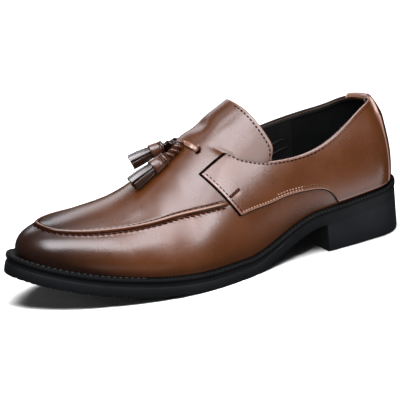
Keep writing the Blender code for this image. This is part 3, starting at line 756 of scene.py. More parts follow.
def topline_share(side, s):
    """Share at which the section reaches the collar's edge."""
    s = np.asarray(s, float)
    height = topline[side](feather(side, s)[1])
    foot, _, _, upward = section(side, s)
    low = np.zeros(s.shape)
    high = np.ones(s.shape)
    for _ in range(30):
        middle = (low + high) / 2
        below = foot[..., 2] + bezier(upward, middle) < height
        low = np.where(below, middle, low)
        high = np.where(below, high, middle)
    return (low + high) / 2


def girth_share(side, s):
    """Row that follows the apron's seam in front and meets the collar's edge at the tongue."""
    along = feather(side, s)[1]
    collar = topline_share(side, place_at(side, TONGUE_SIDE))
    blend = np.clip((along - TONGUE_SIDE) / (APRON[0][0] - TONGUE_SIDE), 0, 1)
    return collar * (1 - blend) + apron_share(along) * blend


def share_per_mm(side, s, v):
    """Change of share for a millimetre up the section."""
    step = 0.01
    rise = upper_point(side, s, v + step) - upper_point(side, s, v - step)
    return 2 * step / np.linalg.norm(rise, axis=-1)


CENTRE_ALONG = (SOLE_LENGTH - EDGE_ROUND) / 2
CENTRE_OUT = (SOLE_LOOP[:, 1].max() + SOLE_LOOP[:, 1].min()) / 2


def to_scene(points):
    p = np.asarray(points, float)
    return np.stack([CENTRE_ALONG - p[..., 0], CENTRE_OUT - p[..., 1], p[..., 2]], -1) * MM


# Meshes


def link(thing):
    bpy.context.scene.collection.objects.link(thing)


def set_place(thing, axes, place):
    """Put an object in the scene, with its own X, Y and Z directions and its place."""
    matrix = np.eye(4)
    matrix[:3, :3] = np.stack(axes, 1)
    matrix[:3, 3] = place
    thing.matrix_world = Matrix(matrix.tolist())
    link(thing)


def add_mesh(
    name, points, faces, materials, slot="brown_leather", smooth_angle=60.0, indices=None, tints=None,
):
    """A piece on the root body, from points in millimetres and faces as lists of corners."""
    data = bpy.data.meshes.new(name)
    data.from_pydata(to_scene(points).tolist(), [], faces)
    for material in materials:
        data.materials.append(material)
    if indices is not None:
        data.polygons.foreach_set("material_index", np.asarray(indices, np.int32))
    for tint, values in (tints or {}).items():
        layer = data.attributes.new(tint, "FLOAT", "POINT")
        layer.data.foreach_set("value", np.asarray(values, np.float32))
    mesh = bmesh.new()
    mesh.from_mesh(data)
    bmesh.ops.recalc_face_normals(mesh, faces=mesh.faces)
    mesh.to_mesh(data)
    mesh.free()
    data.shade_smooth()
    data.set_sharp_from_angle(angle=np.radians(smooth_angle))
    piece = bpy.data.objects.new(name, data)
    link(piece)
    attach(piece, "root")
    return piece


def share_line(grids, line):
    """Give two grids the same points where they meet, on the line that an index picks out."""
    middle = (grids[0][line] + grids[1][line]) / 2
    for grid in grids:
        grid[line] = middle


def weld(grids, size):
    """Points of grids, the first of each that several share, and the faces between those."""
    points = np.concatenate([grid.reshape(-1, 3) for grid in grids])
    quads = []
    start = 0
    for grid in grids:
        rows, columns = grid.shape[:2]
        index = start + np.arange(rows * columns).reshape(rows, columns)
        corners = (index[:-1, :-1], index[:-1, 1:], index[1:, 1:], index[1:, :-1])
        quads.append(np.stack(corners, -1).reshape(-1, 4))
        start += rows * columns
    key = np.round(points / size).astype(np.int64)
    _, first, back = np.unique(key, axis=0, return_index=True, return_inverse=True)
    faces = [tuple(dict.fromkeys(q)) for q in back.reshape(-1)[np.concatenate(quads)].tolist()]
    return points, first, [f for f in faces if len(f) > 2]


def shell(name, patches, materials, slot="brown_leather", rim_material=0):
    """Closed shell: each patch is its outer and inner grid of points, and its tints by name."""
    outer, first, faces = weld([p[0] for p in patches], 0.005)
    inner = np.concatenate([p[1].reshape(-1, 3) for p in patches])
    tints = {}
    for tint in patches[0][2]:
        values = [np.broadcast_to(p[2][tint], p[0].shape[:2]).ravel() for p in patches]
        tints[tint] = np.tile(np.concatenate(values)[first], 2)
    count = len(first)
    seen = {}
    for face in faces:
        for a, b in zip(face, face[1:] + face[:1]):
            pair = (a, b) if a < b else (b, a)
            seen[pair] = seen.get(pair, 0) + 1
    rim = [(b, a, a + count, b + count) for (a, b), times in seen.items() if times == 1]
    under = [tuple(i + count for i in reversed(f)) for f in faces]
    indices = [0] * len(faces) + [min(1, len(materials) - 1)] * len(under) + [rim_material] * len(rim)
    points = np.concatenate([outer[first], inner[first]])
    return add_mesh(name, points, faces + under + rim, materials, slot, 40.0, indices, tints)


def tube(rings):
    """Points and faces of a closed tube through rings of points, with flat ends."""
    count, around = rings.shape[:2]
    index = np.arange(count * around).reshape(count, around)
    after = np.roll(index, -1, 1)
    quads = np.stack([index[:-1], after[:-1], after[1:], index[1:]], -1).reshape(-1, 4)
    faces = [tuple(q) for q in quads.tolist()]
    faces += [tuple(index[0, ::-1].tolist()), tuple(index[-1].tolist())]
    return rings.reshape(-1, 3), faces


def join(solids):
    """Several solids, each points and faces, as one."""
    points = []
    faces = []
    start = 0
    for p, f in solids:
        points.append(p)
        faces += [tuple(i + start for i in face) for face in f]
        start += len(p)
    return np.concatenate(points), faces


def threads(starts, ends, normals, width, height, sink=STITCH_SINK):
    """Sewn stitches as small bent bars: each lies from a start to an end and dips in at both."""
    share, full, dip = np.array(STITCH_SHAPE).T
    angle = circle(STITCH_SIDES)
    across = unit(np.cross(normals, unit(ends - starts)))
    centre = starts[:, None] + (ends - starts)[:, None] * share[None, :, None]
    centre = centre + normals[:, None] * ((dip / 2 - sink) * height)[None, :, None]
    ring = across[:, None] * (np.cos(angle) * width / 2)[None, :, None]
    ring = ring + normals[:, None] * (np.sin(angle) * height / 2)[None, :, None]
    rings = centre[:, :, None] + ring[:, None] * full[None, :, None, None]
    return join([tube(r) for r in rings])


def sew(name, rows, material, slot="brown_leather"):
    """One piece of many stitches: each row is a line with its normals, and the stitches' sizes."""
    solids = []
    for (points, normals), (pitch, length, width, height) in rows:
        run = run_length(points)
        count = max(1, int(round((run[-1] - length) / pitch)) + 1)
        middle = np.linspace(length / 2, run[-1] - length / 2, count)
        starts, ends = (follow(middle + half, run, points) for half in (-length / 2, length / 2))
        solids.append(threads(starts, ends, unit(follow(middle, run, normals)), width, height))
    add_mesh(name, *join(solids), [material], slot)


def band(path, up, width, thickness, around=BAND_SIDES):
    """Flat strip with soft edges along a path."""
    way = unit(np.gradient(path, axis=0))
    across = unit(np.cross(up, way))
    over = np.cross(way, across)
    angle = circle(around)
    x, y = (np.sign(w) * np.abs(w) ** BAND_ROUND / 2 for w in (np.cos(angle), np.sin(angle)))
    ring = across[:, None] * (np.broadcast_to(width, len(path))[:, None] * x)[..., None]
    ring = ring + over[:, None] * (np.broadcast_to(thickness, len(path))[:, None] * y)[..., None]
    return tube(path[:, None] + ring)


# Materials


def new_material(name, roughness, specular):
    material = bpy.data.materials.new(name)
    material.use_nodes = True
    tree = material.node_tree
    shader = tree.nodes["Principled BSDF"]
    shader.inputs["Roughness"].default_value = roughness
    shader.inputs["Specular IOR Level"].default_value = specular
    return material, tree, shader, tree.nodes.new("ShaderNodeTexCoord").outputs["Object"]


def noise(tree, place, scale, detail=3.0, rough=0.5):
    node = tree.nodes.new("ShaderNodeTexNoise")
    for name, number in (("Scale", scale), ("Detail", detail), ("Roughness", rough)):
        node.inputs[name].default_value = number
    tree.links.new(place, node.inputs["Vector"])
    return node.outputs["Fac"]


def spread(tree, value, to_low, to_high, low=0.3, high=0.7):
    """A value's range from low to high, spread over another range."""
    node = tree.nodes.new("ShaderNodeMapRange")
    for name, number in (("From Min", low), ("From Max", high), ("To Min", to_low), ("To Max", to_high)):
        node.inputs[name].default_value = number
    tree.links.new(value, node.inputs["Value"])
    return node.outputs["Result"]


def mix(tree, factor, a, b):
    """Mix of two colours, each a colour or a node's output."""
    node = tree.nodes.new("ShaderNodeMix")
    node.data_type = "RGBA"
    tree.links.new(factor, node.inputs[0])
    for socket, value in ((node.inputs[6], a), (node.inputs[7], b)):
        if isinstance(value, tuple):
            socket.default_value = (*value, 1.0)
        else:
            tree.links.new(value, socket)
    return node.outputs[2]


def bump(tree, shader, heights, strength):
    """Bumps from heights: each an output and its depth in metres."""
    normal = None
    for height, depth in heights:
        node = tree.nodes.new("ShaderNodeBump")
        node.inputs["Strength"].default_value = strength
        node.inputs["Distance"].default_value = depth
        tree.links.new(height, node.inputs["Height"])
        if normal is not None:
            tree.links.new(normal, node.inputs["Normal"])
        normal = node.outputs["Normal"]
    tree.links.new(normal, shader.inputs["Normal"])


def leather(name, low, high, dark, pale, roughness=0.27, specular=1.0, tinted=True):
    """Smooth calf: cloudy colour, fine pores and grain, burnished or in painted shade where it is tinted
    dark, and painted highlight where it is tinted with highlight.
    """
    material, tree, shader, place = new_material(name, roughness, specular)
    cloud = noise(tree, place, *LEATHER_CLOUD)
    colour = mix(tree, spread(tree, cloud, 0.0, 1.0), low, high)
    speck = noise(tree, place, *LEATHER_SPECK)
    colour = mix(tree, spread(tree, speck, 0.0, 0.10, 0.45, 0.8), colour, dark)
    for tint, tone in (("pale", pale), ("dark", dark)) if tinted else ():
        node = tree.nodes.new("ShaderNodeAttribute")
        node.attribute_name = tint
        colour = mix(tree, node.outputs["Fac"], colour, tone)
    tree.links.new(colour, shader.inputs["Base Color"])
    tree.links.new(spread(tree, cloud, roughness - 0.03, roughness + 0.05), shader.inputs["Roughness"])
    pores = tree.nodes.new("ShaderNodeTexVoronoi")
    pores.inputs["Scale"].default_value = LEATHER_PORES
    tree.links.new(place, pores.inputs["Vector"])
    grain = noise(tree, place, *LEATHER_GRAIN)
    bump(tree, shader, ((grain, GRAIN_DEPTH), (pores.outputs["Distance"], PORE_DEPTH)), 0.35)
    return material


def rubber(name, low, high, roughness, specular, skin_scale=900.0):
    """Moulded rubber with a fine matt skin."""
    material, tree, shader, place = new_material(name, roughness, specular)
    cloud = noise(tree, place, RUBBER_CLOUD)
    tree.links.new(mix(tree, spread(tree, cloud, 0.0, 1.0), low, high), shader.inputs["Base Color"])
    skin = noise(tree, place, skin_scale, 3.0, 0.6)
    tree.links.new(spread(tree, skin, roughness - 0.06, roughness + 0.08), shader.inputs["Roughness"])
    bump(tree, shader, ((skin, SKIN_DEPTH),), 0.4)
    return material


def thread(name, low, high):
    """Waxed sewing thread with its ply showing."""
    material, tree, shader, place = new_material(name, 0.9, 0.0)
    ply = tree.nodes.new("ShaderNodeTexWave")
    ply.inputs["Scale"].default_value = PLY_SCALE
    ply.inputs["Distortion"].default_value = 1.5
    ply.bands_direction = "DIAGONAL"
    tree.links.new(place, ply.inputs["Vector"])
    tree.links.new(mix(tree, ply.outputs["Fac"], low, high), shader.inputs["Base Color"])
    bump(tree, shader, ((ply.outputs["Fac"], PLY_DEPTH),), 0.5)
    return material


# Colours of each leather: low and high tone, the dark tone of specks, burnish and painted shade, and the
# tone of painted highlights
BROWN = leather(
    "cognac_calf", (0.088, 0.0250, 0.0042), (0.113, 0.0328, 0.0062), (0.006, 0.0016, 0.0008),
    (0.47, 0.29, 0.22),
)
TASSEL_BROWN = leather(
    "tassel_calf", (0.045, 0.0145, 0.0050), (0.065, 0.0215, 0.0078), (0.0015, 0.0007, 0.0005),
    (0.24, 0.12, 0.075), 0.26, 0.9,
)
LINING = leather(
    "lining_leather", (0.0042, 0.0045, 0.0044), (0.0066, 0.0070, 0.0069), (0.001, 0.001, 0.001),
    (0.01, 0.01, 0.01), 0.45, 0.22, False,
)
RUBBER = rubber("sole_rubber", (0.0052, 0.0061, 0.0067), (0.0074, 0.0086, 0.0095), 0.5, 0.2)
# The heel is the sole's own rubber, made lighter as painted light
HEEL_RUBBER_LIGHTENED = rubber("heel_rubber", (0.0072, 0.0083, 0.0094), (0.0100, 0.0115, 0.0130), 0.5, 0.2)
WELT_RUBBER = rubber("welt_rubber_skin", (0.0018, 0.0020, 0.0022), (0.0030, 0.0033, 0.0036), 0.5, 0.14)
DARK_THREAD = thread("dark_thread", (0.020, 0.0048, 0.0034), (0.036, 0.0092, 0.0062))
SEAT_THREAD = thread("seat_thread", (0.040, 0.0115, 0.0050), (0.062, 0.0180, 0.0080))
# Thread of the whip stitches, also the colour of the painted shadow band in the seam's groove
WHIP_THREAD_AND_SEAM_SHADOW = thread("whip_thread", (0.014, 0.0040, 0.0026), (0.028, 0.0085, 0.0056))
TAN_THREAD = thread("tan_thread", (0.34, 0.215, 0.155), (0.52, 0.35, 0.27))
REAR_THREAD = thread("rear_thread", (0.10, 0.048, 0.029), (0.20, 0.110, 0.074))
WELT_THREAD = thread("welt_thread", (0.034, 0.035, 0.034), (0.075, 0.076, 0.074))
ELASTIC = rubber("elastic_web", (0.0045, 0.0046, 0.0047), (0.0085, 0.0087, 0.0088), 0.45, 0.3, 2200.0)
WRINKLED = rubber("wrinkled_web", (0.006, 0.0065, 0.007), (0.010, 0.0105, 0.011), 0.35, 0.5)
# Dark edge paint on the quarter's cut edges, also used for painted shade: the flared rims, the lace holes'
# floors and the lump behind the knot
EDGE_PAINT_AND_SHADE = rubber("edge_paint", (0.0030, 0.0012, 0.0009), (0.0060, 0.0026, 0.0019), 0.9, 0.0)

# Camera


def make_camera():
    a, e, r = np.radians((CAMERA_AZIMUTH, CAMERA_ELEVATION, CAMERA_ROLL))
    back = np.array((np.sin(a) * np.cos(e), -np.cos(a) * np.cos(e), np.sin(e)))
    level = np.array((np.cos(a), np.sin(a), 0.0))
    rise = np.cross(back, level)
    right = level * np.cos(r) + rise * np.sin(r)
    up = rise * np.cos(r) - level * np.sin(r)
    aim = (np.array(CAMERA_AIM) + right * CAMERA_NUDGE[0] + up * CAMERA_NUDGE[1]) * MM
    data = bpy.data.cameras.new("camera")
    data.lens = CAMERA_LENS
    data.sensor_width = CAMERA_SENSOR
    data.clip_end = CAMERA_FAR
    camera = bpy.data.objects.new("camera", data)
    set_place(camera, (right, up, back), aim + back * CAMERA_DISTANCE)
    bpy.context.scene.camera = camera


# Lace, knot and tassels


def make_hole_shadows():
    """Painted shade inside the lace's holes: a dark disc on the floor of each."""
    solids = []
    turn = circle(20)
    for side in SIDES:
        per_mm = share_per_mm(side, place_at(side, LACE_HOLE[0]), LACE_HOLE[1])
        rings = []
        for radius, lift in HOLE_SHADOW_DISC:
            s = place_at(side, LACE_HOLE[0] + radius * np.cos(turn))
            rings.append(upper_offset(side, s, LACE_HOLE[1] + radius * np.sin(turn) * per_mm, lift))
        solids.append(tube(np.stack(rings)))
    add_mesh("lace_hole_insides", *join(solids), [EDGE_PAINT_AND_SHADE], smooth_angle=40.0)


def make_knot():
    """Wrapped knot: a lump with the turns of the lace crossing over it, painted shade in the grooves
    between the turns, and a dark lump of painted shade behind it.
    """
    turn, tilt = np.meshgrid(circle(72), np.linspace(KNOT_POLE, np.pi - KNOT_POLE, 40))
    wraps = np.abs(np.sin(KNOT_TURNS[0] * turn + KNOT_TURNS[1] * np.cos(tilt)))
    lift = 1.0 + KNOT_RELIEF * (wraps ** 0.5 - KNOT_LEVEL)
    lump = np.stack([np.sin(tilt) * np.cos(turn), np.sin(tilt) * np.sin(turn), np.cos(tilt)], -1)
    wrapped = tube(np.array(KNOT_CENTRE) + lump * lift[..., None] * np.array(KNOT_RADII))
    shade_filling = tube(np.array(KNOT_SHADE_FILL) + lump * np.array(KNOT_SHADE_FILL_RADII))
    # Painted shade in the grooves between the turns, and over the lump behind
    groove = 1 - np.clip(wraps.ravel() / KNOT_GROOVE, 0, 1)
    dark = np.concatenate([groove * KNOT_TONE_AND_GROOVE_SHADE[1] + KNOT_TONE_AND_GROOVE_SHADE[0], 0 * groove + DARKEST])
    tints = {"pale": 0 * dark, "dark": dark}
    indices = [0] * len(wrapped[1]) + [1] * len(shade_filling[1])
    materials = [TASSEL_BROWN, EDGE_PAINT_AND_SHADE]
    knot = add_mesh(
        "wrapped_knot", *join([wrapped, shade_filling]), materials, "tassel_leather", 60.0, indices, tints,
    )
    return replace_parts(knot, "lace_knot")


def make_tassel(side):
    """Tassel: a turned cap with two rings, over flat strips cut from one piece of leather."""
    start, end = (np.array(p) for p in TASSELS[side])
    length = np.linalg.norm(end - start)
    way = unit(end - start)
    across, over = axes_of(way)

    def spoke(angle):
        return np.cos(angle)[:, None] * across + np.sin(angle)[:, None] * over

    profile = np.array(CAP_PROFILE) * (CAP_SCALE, CAP_GIRTH, 1.0) + (CAP_START, 0.0, 0.0)
    rings = start + way * (profile[:, 0] * length)[:, None, None]
    solids = [tube(rings + spoke(circle(CAP_SIDES))[None] * profile[:, 1, None, None])]
    # Painted shade of the cap
    darks = [np.repeat(profile[:, 2], CAP_SIDES)]
    random = np.random.default_rng(TASSEL_SEED[side])
    k = np.linspace(0, 1, 18)
    edge = np.abs(np.cos(circle(CUT_SIDES))) ** 4
    # Dark tone of the strips, with painted shade towards the cap
    dark, loss, least, greatest = CUT_TONE_AND_SHADE
    shade = np.clip(dark - loss * k, least, greatest)[:, None] + CUT_EDGE_DARK * edge[None]
    for count, low, high, wide in CUT_ROUNDS:
        for i in range(count):
            turn = 2 * np.pi * (i + random.uniform(*UNEVEN_TURN)) / count
            reach = low + (high - low) * (k ** CUT_CURVE) + CUT_BULGE * np.sin(np.pi * k)
            reach = reach * random.uniform(*UNEVEN_REACH)
            far = 1.0 - random.uniform(*UNEVEN_END)
            run = CUT_FROM + (far - CUT_FROM) * k
            out = spoke(turn + random.uniform(*UNEVEN_SWAY) * k)
            path = start + way * (run * length)[:, None] + out * reach[:, None]
            width = 2 * np.pi * reach / count * wide
            solids.append(band(path, out, width, CUT_THICK, CUT_SIDES))
            darks.append(shade.ravel())
    dark = np.clip(np.concatenate(darks), 0, DARKEST)
    tints = {"pale": 0 * dark, "dark": dark}
    tassel = add_mesh(
        "cut_tassel_" + side, *join(solids), [TASSEL_BROWN], "tassel_leather", 42.0, None, tints,
    )
    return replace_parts(tassel, "tassel_" + side)


def stem_path(side):
    """Middle line of a lace end, out of the knot and on into the tassel's cap."""
    centre = np.array(STEM_START[side])
    start, end = (np.array(p) for p in TASSELS[side])
    way = unit(end - start)
    handle = start - way * np.linalg.norm(start - centre) * STEM_HANDLE
    k = np.linspace(0, 1, 12)[:, None]
    curve = centre * (1 - k) ** 2 + handle * 2 * k * (1 - k) + start * k ** 2
    inside = start + way * np.linspace(1, STEM_INSIDE, 6)[:, None]
    return smooth_path(np.concatenate([curve, inside]), STEM_POINTS)


def twisted(path, turns, strand, reach):
    """Two strands wound round each other along a path."""
    side, over = axes_of(unit(np.gradient(path, axis=0)))
    turn = np.linspace(0, 2 * np.pi * turns, len(path))
    angle = circle(TWIST_SIDES)
    ring = np.cos(angle)[None, :, None] * side[:, None] + np.sin(angle)[None, :, None] * over[:, None]
    full = TWIST_TIP + (1 - TWIST_TIP) * rounded(run_length(path), TWIST_FULL)[:, None, None]
    solids = []
    for start in (0.0, np.pi):
        line = np.cos(turn + start)[:, None] * side + np.sin(turn + start)[:, None] * over
        solids.append(tube((path + reach * line)[:, None] + ring * strand * full))
    return solids


def lace_route(side):
    """Middle line of the flat lace, from under its hole over the upper to the knot."""

    def over_upper(k, lift):
        along = LACE_HOLE[0] + (LACE_RIDGE[side] - LACE_HOLE[0]) * np.sin(k * np.pi / 2)
        share = LACE_HOLE[1] + (1 - LACE_HOLE[1]) * k
        return upper_offset(side, place_at(side, along), min(share, LACE_HIGHEST), lift)

    points = [over_upper(LACE_DIP, lift) for lift in LACE_SINKS]
    points += [over_upper(k, LACE_LIFT[0] + LACE_LIFT[1] * np.sin(k * np.pi)) for k in LACE_STEPS[side]]
    return smooth_path(points + [np.array(STEM_START[side])], LACE_POINTS)


def make_lace(side):
    """Flat lace and its twisted end: the piece, and the line that it follows."""
    flat = lace_route(side)
    stem = stem_path(side)
    turn = np.linspace(0, LACE_TURN[side], len(flat))[:, None]
    up = upper_normal(side, place_at(side, LACE_HOLE[0]), LACE_HOLE[1])
    up = unit(up * (1 - turn) + np.array(LACE_UP) * turn)
    reach = TWIST_REACH[side]
    solids = [band(flat, up, LACE_WIDTH * LACE_NARROW, LACE_THICKNESS)]
    points, faces = join(solids + twisted(stem, TWIST_TURNS[side], TWIST_STRAND[side], reach))
    flat_points = len(flat) * BAND_SIDES
    # Painted highlight on the flat lace
    pale = np.zeros(len(points))
    pale[:flat_points] = LACE_HIGHLIGHT[side]
    # Painted shade between the strands, and over the medial end
    strand_shade = np.zeros(len(points))
    middle = np.tile(np.repeat(stem, TWIST_SIDES, 0), (2, 1))
    away = np.linalg.norm(points[flat_points:] - middle, axis=1)
    strand_shade[flat_points:] = 1 - smooth_step(away, reach, reach + TWIST_SHADE_REACH)
    tints = {"pale": pale, "dark": DARKEST * np.maximum(strand_shade, TWIST_SHADE[side])}
    piece = add_mesh(
        "lace_" + side + "_run", points, faces, [TASSEL_BROWN], "tassel_leather", 45.0, None, tints,
    )
    return piece, np.concatenate([flat, stem[1:]])


def make_laces():
    make_hole_shadows()
    knot = make_knot()
    for half in SIDES:
        tassel = make_tassel(half)
        lace, route = make_lace(half)
        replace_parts(lace, "lace_end_" + half, "lace")
        leaves = to_scene(upper_point(half, place_at(half, LACE_HOLE[0]), LACE_HOLE[1]))


# Upper


def quarter_frame(side, k, q):
    """Places and shares of a quarter: k from its front edge to the heel, q from its seam to the top."""
    low_start = place_at(side, QUARTER[-1][0])
    top_start = place_at(side, TAB_POINT[0])
    s_low = low_start + (1 - low_start) * k
    s_top = top_start + (1 - top_start) * k
    along_low = feather(side, s_low)[1]
    along_top = feather(side, s_top)[1]
    seam = np.maximum(quarter_share(along_low), QUARTER_FOOT)
    low = np.where(along_low < QUARTER[0][0], QUARTER_FOOT, seam)
    shoulder = np.clip((along_top - TAB_SHOULDER[0]) / (TAB_POINT[0] - TAB_SHOULDER[0]), 0, 1)
    tab = TAB_SHOULDER[1] * (1 - shoulder) + TAB_POINT[1] * shoulder
    collar = topline_share(side, s_top)
    step_up = TAB_SHOULDER[1] - topline_share(side, place_at(side, TAB_SHOULDER[0]))
    collar = collar + step_up * smooth_step(along_top, TAB_SHOULDER[0] - TAB_BLEND, TAB_SHOULDER[0])
    top = np.where(along_top > TAB_SHOULDER[0], tab, collar)
    bow = TAB_BOW / FEATHER_RUN[side] * 4 * q * (1 - q) * np.clip(1 - k / TAB_BOW_REACH, 0, 1)
    return s_low * (1 - q) + s_top * q - bow, low * (1 - q) + top * q


def tab_edges(side):
    """Points along a quarter's front edge, its lower seam and the top of its tab."""
    fine = np.linspace(0, 1, 400)
    k = np.linspace(0, TAB_TOP, 300)
    lines = ((0 * fine, fine), (fine, 0 * fine), (k, 0 * k + 1))
    return np.concatenate([upper_point(side, *quarter_frame(side, *line)) for line in lines])


def forms(side, along, share):
    """Lift of the leather's soft troughs, ridges and fold."""
    dip_along, dip_share, dip_reach, dip_lift = INSTEP_DIP
    rows = ((dip_along, dip_share, dip_reach, DIP_REACH[side], dip_lift), *FORMS)
    lift = 0 * along
    for at, level, reach, rise, height in rows:
        lift = lift + bell(along, height, at, reach) * bell(share, 1.0, level, rise)
    start, end, width, height = FOLD
    line = np.array((end[0] - start[0], (end[1] - start[1]) * SHARE_LENGTH))
    length = np.linalg.norm(line)
    ahead = along - start[0]
    above = (share - start[1]) * SHARE_LENGTH
    run = (ahead * line[0] + above * line[1]) / length
    off = (above * line[0] - ahead * line[1]) / length
    return lift + bell(off, height, 0.0, width) * bell(run, 1.0, 0.0, length)


def tongue_lift(from_edge, share):
    """Round of the tongue's edge, which turns down a little all along it."""
    curl = np.clip(1 - from_edge / TIP_REACH, 0, 1) ** 2 + 0 * share
    return -TIP_DROP * (1 - rounded(from_edge, TIP_ROUND)) - TIP_CURL * curl


def tongue_place(along, share):
    """Place along the shoe of a column, which leans with the tongue's edge."""
    fade = np.clip((TONGUE_SPREAD - along) / (TONGUE_SPREAD - TONGUE_SIDE), 0, 1)
    return along + (tongue_along(share) - TONGUE_SIDE) * fade


def seam_lift(up, run, along):
    """Relief across the apron's seam: up from it in millimetres, and run along it."""
    height, half, power = BEAD
    bead = height * np.clip(1 - (up / half) ** 2, 0, 1) ** power
    groove = sum(bell(up, *row) for row in GROOVES)
    gather = bell(up, *GATHERS) * (0.5 + 0.5 * np.cos(2 * np.pi * run / GATHER_PITCH))
    return (bead + groove + gather) * smooth_step(along, SEAM_START, SEAM_FULL)


def front_columns(side):
    """The front's columns, from the toe tip to the tongue's edge: along, and place."""
    end = place_at("lateral", TONGUE_SIDE + 3.0)
    along = feather("lateral", np.linspace(0, end, FRONT_COLUMNS))[1]
    along = np.concatenate([along, TONGUE_SIDE + np.array(EDGE_COLUMNS)])
    return along, place_at(side, along)


def toe_burnish_and_low_dark(along, share):
    """How dark the leather is: burnished at the toe, and a little darker along the welt."""
    toe = TOE_BURNISH * smooth_step(along, *TOE_FADE)
    return np.clip(toe + bell(share, *WELT_DARK) + bell(share, *WELT_SHADE), 0, BURNISH_MOST)


def painted_edge_shadow(points, edge):
    """Painted shadow on what lies under an overlay, along the overlay's edge."""
    tree = KDTree(len(edge))
    for i, p in enumerate(edge):
        tree.insert(p, i)
    tree.balance()
    flat = points.reshape(-1, 3)
    away = np.full(len(flat), 99.0)
    near = (flat > edge.min(0) - EDGE_SHADOW_REACH) & (flat < edge.max(0) + EDGE_SHADOW_REACH)
    for i in np.nonzero(near.all(1))[0]:
        away[i] = tree.find(flat[i])[2]
    return bell(away, EDGE_SHADOW, 0.0, EDGE_SHADOW_WIDTH).reshape(points.shape[:2])


def front_grids(side, edges):
    """Rows of the front, up from the welt: both faces, tints, shares and the row that splits it."""
    along, s = front_columns(side)
    girth = girth_share(side, s)
    per_mm = share_per_mm(side, s, girth)
    ups = np.arange(*SEAM_ROWS)
    low_end = girth + ups[0] * per_mm
    high_start = girth + ups[-1] * per_mm
    low = [low_end * k for k in np.linspace(0, 1, LOW_ROWS, endpoint=False)]
    seam = [girth + up * per_mm for up in ups]
    high = [high_start + (1 - high_start) * k for k in np.linspace(0, 1, HIGH_ROWS)[1:]]
    share = np.stack(low + seam + high)
    up = (share - girth) / per_mm
    place = tongue_place(along, share)
    where = place_at(side, place)
    from_edge = along - TONGUE_SIDE
    on_apron = smooth_step(up, *SEAM_RISE)
    on_seam = smooth_step(along, SEAM_START, SEAM_FULL)
    hole = np.hypot(place - LACE_HOLE[0], (share - LACE_HOLE[1]) / share_per_mm(side, where, share))
    pit = 1 - smooth_step(hole, *HOLE_EDGE)
    lift = seam_lift(up, run_length(upper_point(side, s, girth)), along) + forms(side, place, share)
    lift = lift + tongue_lift(from_edge, share) * on_apron - HOLE_DEPTH * pit
    row_shade = bell(from_edge, *TONGUE_ROW_SHADE) * on_apron
    dark = most(
        # toe burnish and darker low along the welt, kept off the bead's top as painted highlight
        toe_burnish_and_low_dark(place, share) * (1 - bell(up, *BEAD_HIGHLIGHT_CLEAR) * on_seam),
        # painted shade in the grooves beside the bead
        *(bell(up, *row) * on_seam for row in SEAM_GROOVE_SHADE),
        # painted shade in the tongue's stitch groove
        row_shade * (1 - smooth_step(share, *TONGUE_ROW_SHADE_FADE)),
        # painted shadow under the quarter's edge
        painted_edge_shadow(upper_point(side, where, share), edges),
        # painted shade in the lace's hole
        PIT_SHADE * pit,
    )
    # Painted highlight on the bead's top and along the tongue's edge
    pale = np.maximum(bell(up, *BEAD_HIGHLIGHT) * on_seam, bell(from_edge, *TONGUE_EDGE_HIGHLIGHT) * on_apron)
    outer = upper_offset(side, where, share, lift)
    inner = upper_offset(side, where, share, np.minimum(lift, 0) * 0.5 - WALL)
    split = len(low) + int(np.argmin(np.abs(ups - SEAM_SPLIT)))
    return outer, inner, {"dark": dark, "pale": pale}, share, split


def back_grids(side, front, edges):
    """The upper behind the tongue, from the front's last column to the heel."""
    outer, inner, _, share, split = front
    s = np.linspace(place_at(side, TONGUE_SIDE), 1, 150)
    blend = smooth_step(s, s[0], s[0] + BACK_BLEND)
    rise = topline_share(side, s) * blend + share[split, -1] * (1 - blend)
    level = (share[:split + 1, -1] / share[split, -1])[:, None] * rise
    skin = upper_offset(side, s, level, 0.0)
    under = upper_offset(side, s, level, -WALL)
    skin[:, 0] = outer[:split + 1, -1]
    under[:, 0] = inner[:split + 1, -1]
    # Toe burnish, darker low along the welt, and painted shadow under the quarter's edge
    dark = np.maximum(toe_burnish_and_low_dark(feather(side, s)[1], level), painted_edge_shadow(skin, edges))
    return skin, under, {"dark": dark, "pale": 0 * level}


def make_upper():
    edges = {side: tab_edges(side) for side in SIDES}
    fronts = {side: front_grids(side, edges[side]) for side in SIDES}
    for layer in (0, 1):
        pair = [fronts[side][layer] for side in SIDES]
        share_line(pair, (slice(None), 0))
        share_line(pair, (-1, slice(None)))

    def rows_of(front, rows):
        outer, inner, tints, _, _ = front
        return outer[rows], inner[rows], {name: values[rows] for name, values in tints.items()}

    apron = [rows_of(front, slice(front[4], None)) for front in fronts.values()]
    vamp = [rows_of(front, slice(0, front[4] + 1)) for front in fronts.values()]
    backs = [back_grids(side, fronts[side], edges[side]) for side in SIDES]
    for layer in (0, 1):
        share_line([patch[layer] for patch in backs], (slice(None), -1))
    piece = shell("apron_and_tongue", apron, [BROWN, LINING])
    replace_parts(piece, "upper")
    shell("vamp", vamp + backs, [BROWN, LINING])


# Overlays


def run_over(grid, axis):
    """Distance run along one axis of a grid of points, from its first row or column."""
    step = np.linalg.norm(np.diff(grid, axis=axis), axis=-1)
    pad = [(0, 0), (0, 0)]
    pad[axis] = (1, 0)
    return np.cumsum(np.pad(step, pad), axis=axis)


def eased(count, ends, span):
    """Shares from 0 to 1 with a few more close to the start, and to the end where asked."""
    near = np.array(EDGE_STEPS) / span
    middle = np.linspace(EVEN_FROM / span, 1 - EVEN_FROM / span if ends else 1.0, count)
    return np.concatenate([near, middle, (1 - near)[::-1] if ends else near[:0]])


